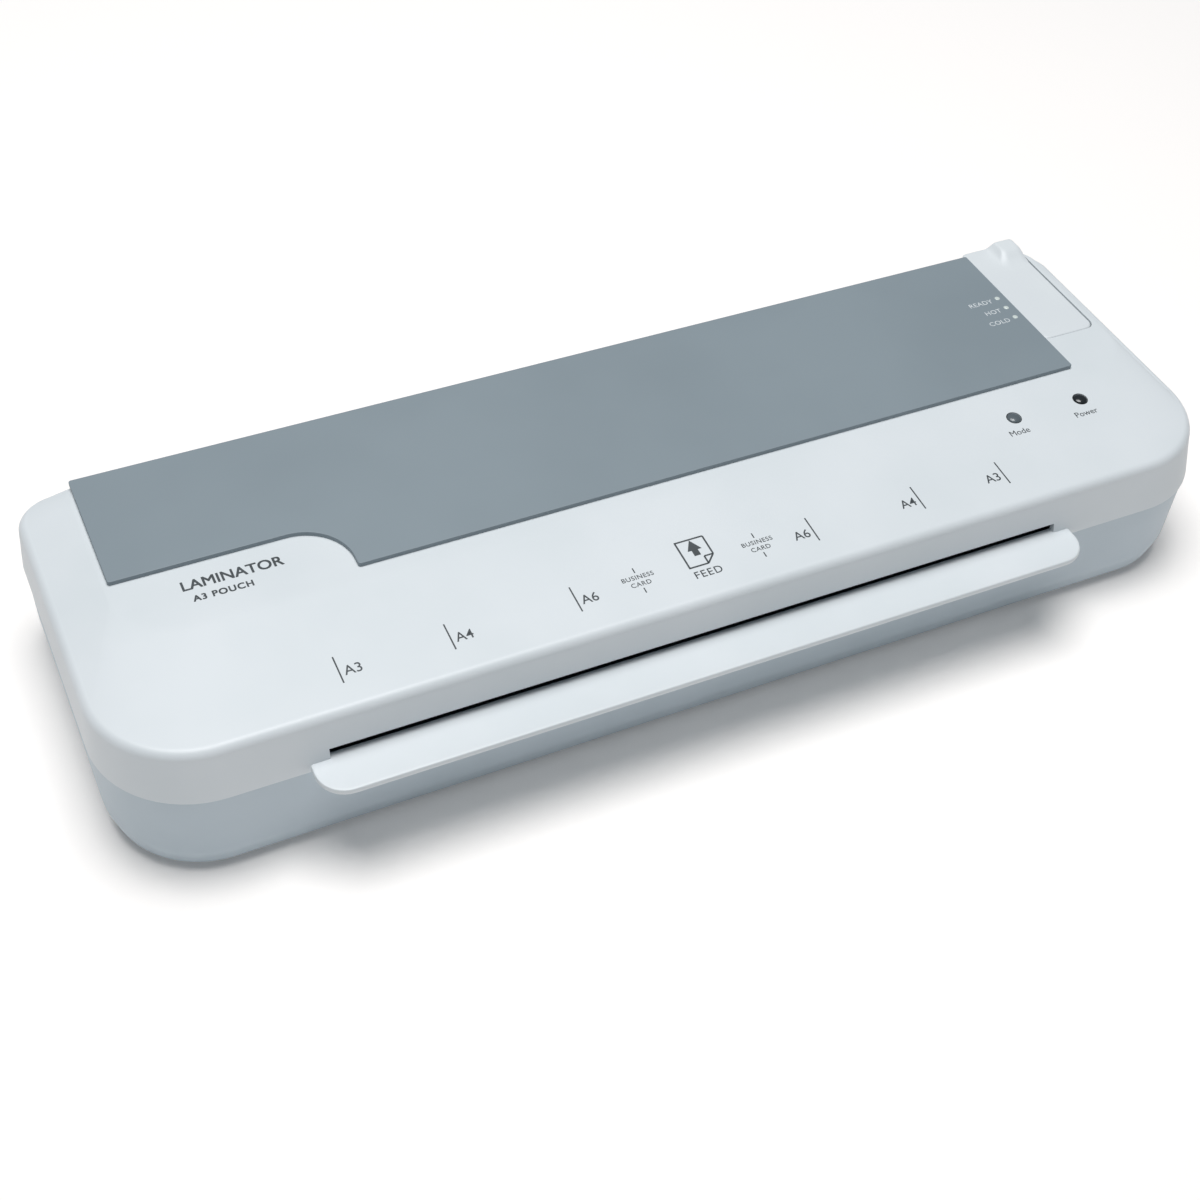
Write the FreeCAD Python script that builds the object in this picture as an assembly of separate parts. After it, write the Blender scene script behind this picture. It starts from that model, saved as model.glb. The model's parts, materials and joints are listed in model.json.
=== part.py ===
"""A3 pouch laminator: a casing in two halves with a raised top panel, a feed ledge and slot in front,
an exit slot behind, two geared pairs of rubber rollers in a steel frame, and a corner rounder at the
right rear.  Millimetres; +X to the right as the user sees it, +Y to the rear, +Z up.  The origin is
under the middle of the whole machine, on the surface it stands on."""
import math
import os

import FreeCAD
import Part

# ---------------------------------------------------------------- driving dimensions: casing
casing_length = 496.0
casing_depth = 158.0
wall = 2.5
foot_height = 3.0
seam_z = 44.0
seam_gap = 0.4
plateau_z = 70.0
front_corner_radius = 42.0
back_corner_radius = 14.0

ledge_reach = 16.0
ledge_thickness = 3.0
ledge_corner_radius = 12.0
ledge_overlap = 8.0
feed_center_x = -5.5
slot_width = 323.0
slot_height = 4.4
exit_height = 5.0

front_draft = 4.5
side_draft = 1.5
back_draft = 0.6
rim_z = 66.0
rim_radius = 4.0
rim_steps = 6
plateau_left_margin = 24.0
plateau_right_margin = 9.5
plateau_front_setback = 63.5
plateau_corner_radius = 25.0

chamfer_height = 9.5
chamfer_inset = 4.2
lower_draft = 1.4
tongue_height = 2.5
tongue_thickness = 1.1
tongue_clearance = 0.2

# ---------------------------------------------------------------- driving dimensions: top panel
panel_thickness = 2.0
panel_left_margin = 25.5
panel_right_margin = 41.3
panel_front_setback = 69.2
notch_length = 92.0
notch_depth = 26.0
notch_radius = 21.0
panel_clip_width = 6.0

# ---------------------------------------------------------------- driving dimensions: keys and indicators
key_radius = 3.2
key_travel = 0.8
key_clearance = 0.3
key_proud = 1.0
key_flange = 1.2
key_setback = 50.7
power_key_margin = 49.3
key_pitch = 35.0
switch_size = 6.2
switch_height = 3.5
plunger_radius = 1.7
board_thickness = 1.6
lens_radius = 1.3
lens_margin = 4.4
lens_pitch = 7.5
lens_setback = 49.4
lens_count = 3

# ---------------------------------------------------------------- driving dimensions: rollers and gears
gear_module = 1.0
roller_teeth = 19
idler_teeth = 21
drive_teeth = 36
pinion_teeth = 18
pressure_angle = 20.0
backlash = 0.12
nip_gap = 0.4
nip_z = 45.5
sleeve_thickness = 3.0
journal_radius = 4.0
running_clearance = 0.05
sleeve_margin = 3.5
hot_setback = 81.0
gear_width = 8.0
drive_width = 6.0
gear_gap = 1.5
layer_gap = 2.2
bush_wall = 2.5
bush_flange = 1.2
plate_thickness = 1.5
plate_gap = 3.2
plate_margin = 15.0
plate_foot_z = 9.5
plate_slot_wall = 2.0
flange_width = 12.0

shoe_clearance = 0.6
shoe_wall = 1.6
shoe_half_angle = 80.0
heater_angle = 60.0
heater_width = 8.0
heater_thickness = 1.5

guide_thickness = 1.2
guide_gap = 2.6
guide_clearance = 1.0

motor_radius = 25.0
motor_depth = 19.0
motor_shaft_radius = 3.0
motor_drop = 3.0
bracket_thickness = 1.5
post_radius = 3.0

# ---------------------------------------------------------------- driving dimensions: corner rounder
lever_width = 28.0
lever_gap = 0.6
lever_length = 66.5
lever_apron_gap = 1.2
lever_apron_height = 9.0
lever_overhang = 4.0
lever_thickness = 3.0
lever_proud = 0.0
lever_skirt = 7.0
lever_skirt_wall = 1.8
lever_swing = 5.5
lever_pin_radius = 1.5
lever_pin_drop = 7.0
lever_pin_setback = 7.0
thumb_width = 11.0
thumb_length = 12.0
thumb_height = 3.5
die_z = 51.0
die_gap = 2.0
corner_slot_height = 4.4
corner_shelf_thickness = 2.0
rib_gap = 0.3
punch_size = 8.0
punch_back_inset = 17.0
punch_clearance = 0.15
spring_wire = 0.8

# ---------------------------------------------------------------- driving dimensions: fixings and feet
boss_radius = 4.5
boss_inset = 26.0
screw_radius = 1.6
screw_head_radius = 3.2
screw_head_height = 2.2
foot_radius = 8.0
foot_inset_x = 48.0
foot_inset_y = 20.0
cord_radius = 3.5
gland_wall = 2.0
gland_flange = 2.5
cord_z = 22.0

# ---------------------------------------------------------------- places that follow from them
half_length = casing_length / 2
front_y = (ledge_reach - lever_overhang - casing_depth) / 2
back_y = front_y + casing_depth
panel_left_x = -half_length + panel_left_margin
panel_right_x = half_length - panel_right_margin
power_key_x = half_length - power_key_margin
mode_key_x = power_key_x - key_pitch
lens_x = panel_right_x - lens_margin
panel_front_y = front_y + panel_front_setback
panel_top_z = plateau_z + panel_thickness
slot_floor_z = seam_z + ledge_thickness
slot_top_z = slot_floor_z + slot_height
ledge_half = slot_width / 2 + ledge_overlap
roller_pitch_radius = gear_module * roller_teeth / 2
roller_radius = roller_pitch_radius - nip_gap / 2
lower_axis_z = nip_z - roller_pitch_radius
upper_axis_z = nip_z + roller_pitch_radius
hot_y = front_y + hot_setback
idler_distance = gear_module * (roller_teeth + idler_teeth) / 2
idler_y = hot_y + idler_distance
cold_y = idler_y + idler_distance
sleeve_half = slot_width / 2 + sleeve_margin
plate_inner = sleeve_half + plate_gap
left_plate_x = feed_center_x - plate_inner - plate_thickness
right_plate_x = feed_center_x + plate_inner
plate_front_y = hot_y - plate_margin
plate_back_y = cold_y + plate_margin
plate_top_z = upper_axis_z + roller_pitch_radius + gear_module
bush_radius = journal_radius + bush_wall
gear_right_x = left_plate_x - gear_gap
drive_right_x = gear_right_x - gear_width - layer_gap
bracket_right_x = drive_right_x - drive_width - gear_gap
pinion_z = lower_axis_z - motor_drop
pinion_distance = gear_module * (drive_teeth + pinion_teeth) / 2
pinion_y = hot_y - math.sqrt(pinion_distance ** 2 - motor_drop ** 2)
floor_top_z = foot_height + wall
ceiling_z = plateau_z - wall
lever_left_x = panel_right_x + lever_gap
lever_right_x = lever_left_x + lever_width
lever_front_y = back_y - lever_length
cord_x = lever_left_x - 5.5
lever_top_z = plateau_z + lever_proud
pin_y = lever_front_y + lever_pin_setback
pin_z = lever_top_z - lever_pin_drop
punch_x = (lever_left_x + lever_right_x) / 2 + punch_size / 4
punch_y = back_y - punch_back_inset
punch_travel = (punch_y - pin_y) * math.radians(lever_swing)
key_y = front_y + key_setback
lens_y = back_y - lens_setback
plateau_front_y = front_y + plateau_front_setback
key_surface_z = plateau_z - (plateau_z - rim_z) * (plateau_front_y - key_y) / (
    plateau_front_setback - front_draft - rim_radius)

X_AXIS = FreeCAD.Vector(1, 0, 0)
Y_AXIS = FreeCAD.Vector(0, 1, 0)
Z_AXIS = FreeCAD.Vector(0, 0, 1)


# ---------------------------------------------------------------- shared shapes
def at(x, y, z):
    return FreeCAD.Vector(x, y, z)


def block(x0, x1, y0, y1, z0, z1):
    """A box between two corners."""
    return Part.makeBox(x1 - x0, y1 - y0, z1 - z0, at(x0, y0, z0))


def rod_x(radius, x0, x1, y, z):
    return Part.makeCylinder(radius, x1 - x0, at(x0, y, z), X_AXIS)


def rod_z(radius, x, y, z0, z1):
    return Part.makeCylinder(radius, z1 - z0, at(x, y, z0), Z_AXIS)


def joined(shapes):
    """One solid from pieces that overlap or share a face."""
    whole = shapes[0]
    for shape in shapes[1:]:
        whole = whole.fuse(shape)
    return whole.removeSplitter()


def rounded_outline(x0, x1, y0, y1, front_radius, back_radius, z):
    """A closed wire: a rectangle with its front and its back corners rounded."""
    def arc(cx, cy, radius, start):
        circle = Part.Circle(at(cx, cy, z), Z_AXIS, radius)
        return Part.Arc(circle, math.radians(start), math.radians(start + 90)).toShape()

    fr, br = front_radius, back_radius
    corners = [(x1 - fr, y0 + fr, fr, 270), (x1 - br, y1 - br, br, 0),
               (x0 + br, y1 - br, br, 90), (x0 + fr, y0 + fr, fr, 180)]
    arcs = [arc(*c) for c in corners]
    edges = []
    for k, piece in enumerate(arcs):
        edges.append(piece)
        start = piece.valueAt(piece.LastParameter)
        following = arcs[(k + 1) % 4]
        edges.append(Part.LineSegment(start, following.valueAt(following.FirstParameter)).toShape())
    return Part.Wire(edges)


def plan_plate(x0, x1, y0, y1, front_radius, back_radius, z0, z1):
    outline = rounded_outline(x0, x1, y0, y1, front_radius, back_radius, z0)
    return Part.Face(outline).extrude(at(0, 0, z1 - z0))


def side_prism(points, x0, x1):
    """A polygon in Y and Z, carried along X."""
    wire = Part.makePolygon([at(x0, y, z) for y, z in points + points[:1]])
    return Part.Face(wire).extrude(at(x1 - x0, 0, 0))


def casing_section(inset, front, side, back, z):
    """The casing's outline at a height, drawn in by its drafts and by a wall."""
    grow = min(front, side)
    return rounded_outline(
        -half_length + side + inset, half_length - side - inset,
        front_y + front + inset, back_y - back - inset,
        front_corner_radius - grow - inset, back_corner_radius - back - inset, z)


def upper_form(inset):
    """The upper half's outer form, or with an inset its hollow: drafted walls, a round rim, and
    long slopes up to the flat plateau that carries the panel."""
    sections = [casing_section(inset, 0, 0, 0, seam_z)]
    for k in range(rim_steps + 1):
        turn = math.radians(90) * k / rim_steps
        draw = rim_radius * (1 - math.cos(turn))
        height = rim_z - rim_radius * (1 - math.sin(turn)) - inset
        sections.append(casing_section(
            inset, front_draft + draw, side_draft + draw, back_draft, height))
    sections.append(rounded_outline(
        -half_length + plateau_left_margin + inset, half_length - plateau_right_margin - inset,
        plateau_front_y + inset, back_y - back_draft - inset,
        plateau_corner_radius, back_corner_radius - back_draft - inset, plateau_z - inset))
    return Part.makeLoft(sections, True, True)


def lower_form(inset):
    """The lower half's outer form, or with an inset its hollow: a chamfered tray."""
    top = seam_z - seam_gap
    bottom = foot_height + inset
    sections = [casing_section(inset, chamfer_inset, chamfer_inset, chamfer_inset, bottom),
                casing_section(inset, lower_draft, lower_draft, lower_draft,
                               foot_height + chamfer_height),
                casing_section(inset, 0.6, 0.6, 0.6, top)]
    return Part.makeLoft(sections, True, True)


def gear_blank(teeth, phase, x0, width, y, z, bore):
    """An involute spur gear about X; phase is the angle from +Y towards +Z of one tooth's middle."""
    pitch = gear_module * teeth / 2
    base = pitch * math.cos(math.radians(pressure_angle))
    tip = pitch + gear_module
    root = pitch - 1.25 * gear_module
    start = max(base, root)

    def involute(radius):
        roll = math.sqrt(max((radius / base) ** 2 - 1, 0))
        return roll - math.atan(roll)

    half_at_pitch = math.pi / (2 * teeth) - backlash / (2 * pitch)
    flank = []
    for k in range(5):
        radius = start + (tip - start) * k / 4
        flank.append((radius, half_at_pitch + involute(pitch) - involute(radius)))
    foot = [(root, flank[0][1])] if root < start else []
    side = foot + flank
    points = []
    for tooth in range(teeth):
        middle = phase + 2 * math.pi * tooth / teeth
        for radius, half in side:
            points.append((radius, middle - half))
        for radius, half in reversed(side):
            points.append((radius, middle + half))
    wheel = side_prism([(y + r * math.cos(a), z + r * math.sin(a)) for r, a in points],
                       x0, x0 + width)
    return wheel.cut(rod_x(bore, x0 - 1, x0 + width + 1, y, z))


def meshed_phase(teeth_a, phase_a, teeth_b, direction):
    """The phase that puts gear B in mesh with gear A, B lying from A in that direction."""
    return direction + math.pi + (math.pi - teeth_a * (phase_a - direction)) / teeth_b


def coil(radius, wire, x, y, z0, z1, turns):
    """A compression spring standing on z0, lofted through rings of round wire along a helix."""
    steps = 24 * turns
    rise = (z1 - z0 - wire) / steps
    rings = []
    for k in range(steps + 1):
        turn = 2 * math.pi * k / 24
        center = at(x + radius * math.cos(turn), y + radius * math.sin(turn), z0 + wire / 2 + rise * k)
        along = at(-math.sin(turn), math.cos(turn), rise * 24 / (2 * math.pi * radius))
        rings.append(Part.Wire(Part.makeCircle(wire / 2, center, along)))
    return Part.makeLoft(rings, True, True)


def screw(x, y, z_head, length, direction=1):
    """A pan-head screw along Z: its head starts at z_head and its shank goes on by length."""
    head = Part.makeCylinder(screw_head_radius, screw_head_height, at(x, y, z_head),
                             at(0, 0, direction))
    shank = Part.makeCylinder(screw_radius, length, at(x, y, z_head + direction * screw_head_height),
                              at(0, 0, direction))
    return joined([head, shank])


# ---------------------------------------------------------------- fixing places
def boss_places():
    """The four case screws; the right rear one stands clear of the corner rounder."""
    left = -half_length + boss_inset
    right = half_length - boss_inset
    rear_right = lever_left_x - boss_inset
    return [(left, front_y + boss_inset), (right, front_y + boss_inset),
            (left, back_y - boss_inset + 6), (rear_right, back_y - boss_inset / 2)]


def hanging_posts():
    """Where the key board and the indicator board hang under the top, and from what height."""
    key_top = key_board_z + board_thickness
    lamp_top = indicator_board_z + board_thickness
    return [(mode_key_x + 12, key_y + 5, key_top), (power_key_x + 10, key_y + 5, key_top),
            (lens_x - 10, lens_y - 3, lamp_top), (lens_x - 10, lens_y + 18, lamp_top)]


def foot_places():
    return [(sx * (half_length - foot_inset_x), y)
            for sx in (-1, 1) for y in (front_y + foot_inset_y, back_y - foot_inset_y)]


def frame_screw_places():
    """Two screws through each side plate's flange."""
    left = left_plate_x - flange_width / 2
    right = right_plate_x + plate_thickness + flange_width / 2
    return [(x, y) for x in (left, right) for y in (plate_front_y + 8, plate_back_y - 8)]


def base_screw_places():
    """Two screws through the tab at the front of the corner rounder's frame."""
    return [(punch_x - 6, punch_y - 23), (punch_x + 5, punch_y - 23)]


boss_split_z = floor_top_z + 15.0
boss_floor_z = foot_height + 5.0


# ---------------------------------------------------------------- casing
def lever_opening():
    return block(lever_left_x - lever_gap, lever_right_x + lever_gap, lever_front_y - lever_gap,
                 back_y + lever_overhang, plateau_z - lever_skirt - lever_thickness, plateau_z + 5)


def corner_slot():
    """Where a sheet's corner goes in, open to the rear and to the right."""
    middle = die_z + die_gap / 2
    return block(lever_left_x + 6, half_length + 5, back_y - 35, back_y + 5,
                 middle - corner_slot_height / 2, middle + corner_slot_height / 2)


def corner_shelf():
    """The floor of that slot, from the walls in to the corner rounder's frame."""
    top = die_z + die_gap / 2 - corner_slot_height / 2
    low = top - corner_shelf_thickness
    side = block(base_right_x + 0.6, half_length, back_y - 35, back_y, low, top)
    return side.fuse(block(lever_left_x + 6, half_length, base_back_y + 0.6, back_y, low, top))


def upper_shell():
    """The upper half: hollow, with the feed ledge, the slots and all that hangs under its top."""
    hollow = upper_form(wall)
    rebate = plan_plate(-half_length + wall, half_length - wall, front_y + wall, back_y - wall,
                        front_corner_radius - wall, back_corner_radius - wall,
                        seam_z - 1, seam_z + tongue_height + 0.3)
    shell = upper_form(0).cut(hollow).cut(rebate)
    posts = [rod_z(boss_radius, x, y, boss_split_z, plateau_z) for x, y in boss_places()]
    posts += [rod_z(2.2, x, y, z, plateau_z) for x, y, z in hanging_posts()]
    inside = upper_form(wall / 2).fuse(block(-half_length, half_length, front_y, back_y,
                                             floor_top_z, seam_z + 2))
    for part in posts + [corner_shelf()]:
        shell = shell.fuse(part.common(inside))
    ledge = plan_plate(feed_center_x - ledge_half, feed_center_x + ledge_half,
                       front_y - ledge_reach, front_y + wall, ledge_corner_radius, 0.5,
                       seam_z, slot_floor_z)
    rim = [e for e in ledge.Edges
           if e.BoundBox.ZMin > slot_floor_z - 0.01 and e.BoundBox.YMax < front_y]
    shell = shell.fuse(ledge.makeFillet(1.2, rim))
    feed_slot = block(feed_center_x - slot_width / 2, feed_center_x + slot_width / 2,
                      front_y - 1, front_y + wall + 4, slot_floor_z, slot_top_z)
    exit_slot = block(feed_center_x - slot_width / 2, feed_center_x + slot_width / 2,
                      back_y - wall - 2, back_y + 1, seam_z - 1, seam_z + exit_height)
    shell = shell.cut(feed_slot).cut(exit_slot).cut(lever_opening()).cut(corner_slot())
    for x, y in boss_places():
        shell = shell.cut(rod_z(screw_radius, x, y, boss_split_z - 1, boss_split_z + 18))
    for x in (power_key_x, mode_key_x):
        shell = shell.cut(rod_z(key_radius + key_clearance, x, key_y, seam_z, plateau_z + 1))
    for x, y in panel_clip_places():
        shell = shell.cut(block(x - panel_clip_width / 2, x + panel_clip_width / 2, y - 1, y + 1,
                                ceiling_z - 1, plateau_z + 1))
    for y in lens_places():
        shell = shell.cut(rod_z(lens_radius, lens_x, y, ceiling_z - 1, plateau_z + 1))
    return shell.removeSplitter()


def lower_shell():
    """The lower half: a tray with a tongue round its rim, bosses, vents and a hole for the gland."""
    inset = wall + tongue_clearance
    tongue = plan_plate(-half_length + inset, half_length - inset, front_y + inset, back_y - inset,
                        front_corner_radius - inset, back_corner_radius - inset,
                        seam_z - 6, seam_z + tongue_height)
    inset = inset + tongue_thickness
    tongue = tongue.cut(plan_plate(
        -half_length + inset, half_length - inset, front_y + inset, back_y - inset,
        front_corner_radius - inset, back_corner_radius - inset, seam_z - 7, seam_z + 9))
    shell = lower_form(0).cut(lower_form(wall)).fuse(tongue)
    for x, y in boss_places():
        shell = shell.fuse(rod_z(boss_radius, x, y, floor_top_z - 1, boss_split_z))
    for x, y in frame_screw_places():
        shell = shell.fuse(rod_z(boss_radius, x, y, floor_top_z - 1, plate_foot_z))
    for x, y in board_posts():
        shell = shell.fuse(rod_z(3, x, y, floor_top_z - 1, power_board_z))
    shell = shell.cut(block(feed_center_x - slot_width / 2, feed_center_x + slot_width / 2,
                            back_y - 8, back_y + 1, seam_z - seam_gap, seam_z + 10))
    for x, y in boss_places():
        shell = shell.cut(rod_z(screw_head_radius + 0.4, x, y, foot_height - 1, boss_floor_z))
        shell = shell.cut(rod_z(screw_radius + 0.2, x, y, foot_height, boss_split_z + 1))
    for x, y in frame_screw_places():
        shell = shell.cut(rod_z(screw_radius, x, y, floor_top_z - 0.5, plate_foot_z + 1))
    for x, y in base_screw_places():
        shell = shell.cut(rod_z(screw_radius, x, y, foot_height + 0.7, floor_top_z + 1))
    for x, y in foot_places():
        shell = shell.cut(rod_z(2.5, x, y, foot_height - 1, floor_top_z + 1))
    shell = shell.cut(Part.makeCylinder(cord_radius + gland_wall, 12,
                                        at(cord_x, back_y - 11, cord_z), Y_AXIS))
    for row_y in (front_y + 43, front_y + 66):
        for k in range(14):
            x = feed_center_x + (k - 6.5) * 20
            shell = shell.cut(block(x - 1.5, x + 1.5, row_y, row_y + 20, foot_height - 1,
                                    floor_top_z + 1))
    return shell.removeSplitter()


def panel_clip_places():
    """Four hooks that hold the panel, over the gap between the rollers and near the rear."""
    xs = (panel_left_x + 110, panel_right_x - 60)
    return [(x, y) for x in xs for y in (idler_y, back_y - 12)]


def top_panel():
    """The raised panel, with a notch at its left front whose inner corner is round."""
    notch_x = panel_left_x + notch_length
    notch_y = panel_front_y + notch_depth
    back = back_y - back_draft
    center = at(notch_x - notch_radius, notch_y - notch_radius, plateau_z)
    circle = Part.Circle(center, Z_AXIS, notch_radius)
    arc = Part.Arc(circle, 0, math.pi / 2).toShape()
    arc_low = at(notch_x, notch_y - notch_radius, plateau_z)
    arc_high = at(notch_x - notch_radius, notch_y, plateau_z)
    corners = [arc_high, at(panel_left_x, notch_y, plateau_z), at(panel_left_x, back, plateau_z),
               at(panel_right_x, back, plateau_z), at(panel_right_x, panel_front_y, plateau_z),
               at(notch_x, panel_front_y, plateau_z), arc_low]
    edges = [Part.LineSegment(a, b).toShape() for a, b in zip(corners, corners[1:])]
    panel = Part.Face(Part.Wire(edges + [arc])).extrude(at(0, 0, panel_thickness))
    top_rim = [e for e in panel.Edges if e.BoundBox.ZMin > panel_top_z - 0.01]
    panel = panel.makeFillet(0.5, top_rim)
    for x, y in panel_clip_places():
        stem = block(x - panel_clip_width / 2 + 0.2, x + panel_clip_width / 2 - 0.2, y - 0.8, y + 0.8,
                     ceiling_z - 2.5, plateau_z + 0.5)
        barb = block(x - panel_clip_width / 2 + 0.2, x + panel_clip_width / 2 - 0.2, y - 0.8, y + 1.8,
                     ceiling_z - 2.5, ceiling_z - 0.3)
        panel = panel.fuse(stem).fuse(barb)
    for y in lens_places():
        panel = panel.cut(rod_z(lens_radius, lens_x, y, plateau_z - 1, panel_top_z + 1))
    return panel.removeSplitter()


# ---------------------------------------------------------------- keys, lenses and boards
key_seat_z = key_surface_z - wall - 0.7
key_board_z = key_surface_z - wall - 11.0
switch_top_z = key_board_z + board_thickness + switch_height
indicator_board_z = ceiling_z - 10.0
power_board_z = floor_top_z + 5.0


def lens_places():
    return [lens_y + k * lens_pitch for k in range(lens_count)]


def key(x):
    """A domed key: a head through the casing, a flange under it and a stem down to its switch."""
    head = rod_z(key_radius, x, key_y, key_seat_z, key_surface_z + key_proud)
    rim = [e for e in head.Edges if e.BoundBox.ZMin > key_surface_z + key_proud - 0.01]
    head = head.makeFillet(key_proud * 0.8, rim)
    flange = rod_z(key_radius + 1.3, x, key_y, key_seat_z - key_flange, key_seat_z)
    stem = rod_z(1.5, x, key_y, switch_top_z + 1.0, key_seat_z - key_flange)
    return joined([head, flange, stem])


def plunger(x):
    return rod_z(plunger_radius, x, key_y, switch_top_z - 0.6, switch_top_z + 1.0)


def switches():
    """Two tact switches on the key board."""
    half = switch_size / 2
    made = []
    for x in (mode_key_x, power_key_x):
        body = block(x - half, x + half, key_y - half, key_y + half,
                     key_board_z + board_thickness, switch_top_z)
        well = rod_z(plunger_radius + 0.35, x, key_y, switch_top_z - 0.8 - key_travel,
                     switch_top_z + 1)
        made.append(body.cut(well))
    return Part.makeCompound(made)


def key_board():
    return block(mode_key_x - 12, power_key_x + 14, key_y - 9, key_y + 9, key_board_z,
                 key_board_z + board_thickness)


def indicator_board():
    return block(lens_x - 14, lens_x + 2.5, lens_y - 7, lens_y + lens_pitch * (lens_count - 1) + 7,
                 indicator_board_z, indicator_board_z + board_thickness)


def indicator_lenses():
    """Clear light pipes from each lamp up through the casing and the panel."""
    made = []
    for y in lens_places():
        pipe = rod_z(lens_radius, lens_x, y, indicator_board_z + board_thickness + 2.2,
                     panel_top_z + 0.3)
        rim = [e for e in pipe.Edges if e.BoundBox.ZMin > panel_top_z + 0.29]
        made.append(pipe.makeFillet(0.25, rim))
    return Part.makeCompound(made)


def indicator_lamps():
    z = indicator_board_z + board_thickness
    return Part.makeCompound([block(lens_x - 1.4, lens_x + 1.4, y - 1.4, y + 1.4, z, z + 2.0)
                              for y in lens_places()])


power_board_x0 = right_plate_x + 18
power_board_x1 = half_length - 18
power_board_y0 = front_y + 34
power_board_y1 = power_board_y0 + 62


def board_posts():
    return [(x, y) for x in (power_board_x0 + 5, power_board_x1 - 5)
            for y in (power_board_y0 + 5, power_board_y1 - 5)]


def power_board():
    return block(power_board_x0, power_board_x1, power_board_y0, power_board_y1,
                 power_board_z, power_board_z + board_thickness)


def power_components():
    """Relay, transformer, capacitor, terminal block and fuse on the power board."""
    z = power_board_z + board_thickness
    x, y = power_board_x0, power_board_y0
    relay = block(x + 4, x + 19, y + 12, y + 31, z, z + 15)
    core = block(x + 24, x + 44, y + 11, y + 25, z, z + 16)
    winding = block(x + 27, x + 41, y + 9, y + 27, z + 3, z + 13)
    capacitor = rod_z(5, x + 33, y + 38, z, z + 16)
    fuse = Part.makeCylinder(2.6, 20, at(x + 12, y + 38, z + 2.6), Y_AXIS)
    terminal = block(x + 26, x + 44, y + 48, y + 58, z, z + 10)
    return Part.makeCompound([relay, joined([core, winding]), capacitor, fuse, terminal])


# ---------------------------------------------------------------- roller frame
def side_plate(x, outward):
    """A steel side plate with a foot flange, an arm forward for the guides, round seats for the
    lower bushes and slots, open at the top, for the sprung upper ones."""
    arm_top = nip_z + 8
    arm_low = nip_z - 8
    arm_front = guide_front_y
    points = [(plate_front_y, plate_foot_z), (plate_back_y, plate_foot_z),
              (plate_back_y, plate_top_z), (plate_front_y, plate_top_z),
              (plate_front_y, arm_top), (arm_front, arm_top), (arm_front, arm_low),
              (plate_front_y, arm_low)]
    plate = side_prism(points, x, x + plate_thickness)
    far = x + plate_thickness + flange_width if outward > 0 else x - flange_width
    flange = block(min(x, far), max(x + plate_thickness, far), plate_front_y, plate_back_y,
                   plate_foot_z, plate_foot_z + plate_thickness)
    plate = plate.fuse(flange)
    for y in (hot_y, cold_y):
        plate = plate.cut(rod_x(bush_radius, x - 1, x + plate_thickness + 1, y, lower_axis_z))
        plate = plate.cut(rod_x(bush_radius, x - 1, x + plate_thickness + 1, y, upper_axis_z))
        plate = plate.cut(block(x - 1, x + plate_thickness + 1, y - bush_radius, y + bush_radius,
                                upper_axis_z, plate_top_z - plate_slot_wall))
    for y, z in tie_places():
        plate = plate.cut(rod_x(1.6, x - 1, x + plate_thickness + 1, y, z))
    for px, py in frame_screw_places():
        plate = plate.cut(rod_z(screw_radius + 0.2, px, py, plate_foot_z - 1,
                                plate_foot_z + plate_thickness + 1))
    if outward < 0:
        plate = plate.cut(rod_x(1.5, x - 1, x + plate_thickness + 1, idler_y, lower_axis_z))
        for y, z in post_places():
            plate = plate.cut(rod_x(1.6, x - 1, x + plate_thickness + 1, y, z))
    return plate.removeSplitter()


guide_front_y = front_y + wall + 3.5


def tie_places():
    return [(plate_front_y + 6, plate_foot_z + 6), (plate_back_y - 6, plate_foot_z + 6),
            (idler_y, upper_axis_z + 5)]


def tie_rods():
    """Three steel rods that hold the side plates apart."""
    inner = left_plate_x + plate_thickness
    return Part.makeCompound([rod_x(3, inner, right_plate_x, y, z) for y, z in tie_places()])


def tie_screws():
    """Pan heads on both side plates, over the ends of the rods."""
    made = []
    for y, z in tie_places():
        made.append(rod_x(2.8, left_plate_x - gear_gap + 0.3, left_plate_x, y, z))
        made.append(rod_x(2.8, right_plate_x + plate_thickness, right_plate_x + plate_thickness + 1.2,
                          y, z))
    return made


def roller_core(y, z, left_end):
    """A steel shaft: a thick middle inside the rubber, and a journal through both bushes."""
    core_radius = roller_radius - sleeve_thickness
    middle = rod_x(core_radius, feed_center_x - sleeve_half - 1, feed_center_x + sleeve_half + 1, y, z)
    journal = rod_x(journal_radius, left_end, right_plate_x + plate_thickness + 3, y, z)
    return joined([middle, journal])


def roller_sleeve(y, z):
    """The silicone rubber sleeve on a core."""
    core_radius = roller_radius - sleeve_thickness
    sleeve = rod_x(roller_radius, feed_center_x - sleeve_half, feed_center_x + sleeve_half, y, z)
    return sleeve.cut(rod_x(core_radius, feed_center_x - sleeve_half - 1,
                            feed_center_x + sleeve_half + 1, y, z))


def bushes(z):
    """The flanged bushes of one height: two shafts, both plates."""
    made = []
    for y in (hot_y, cold_y):
        for x, way in ((left_plate_x, 1), (right_plate_x, -1)):
            body = rod_x(bush_radius, x - 0.4, x + plate_thickness + 0.4, y, z)
            face = x + plate_thickness if way > 0 else x - bush_flange
            flange = rod_x(bush_radius + 1.5, face, face + bush_flange, y, z)
            hole = rod_x(journal_radius + running_clearance, x - 5, x + 9, y, z)
            made.append(joined([body, flange]).cut(hole))
    return Part.makeCompound(made)


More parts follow.
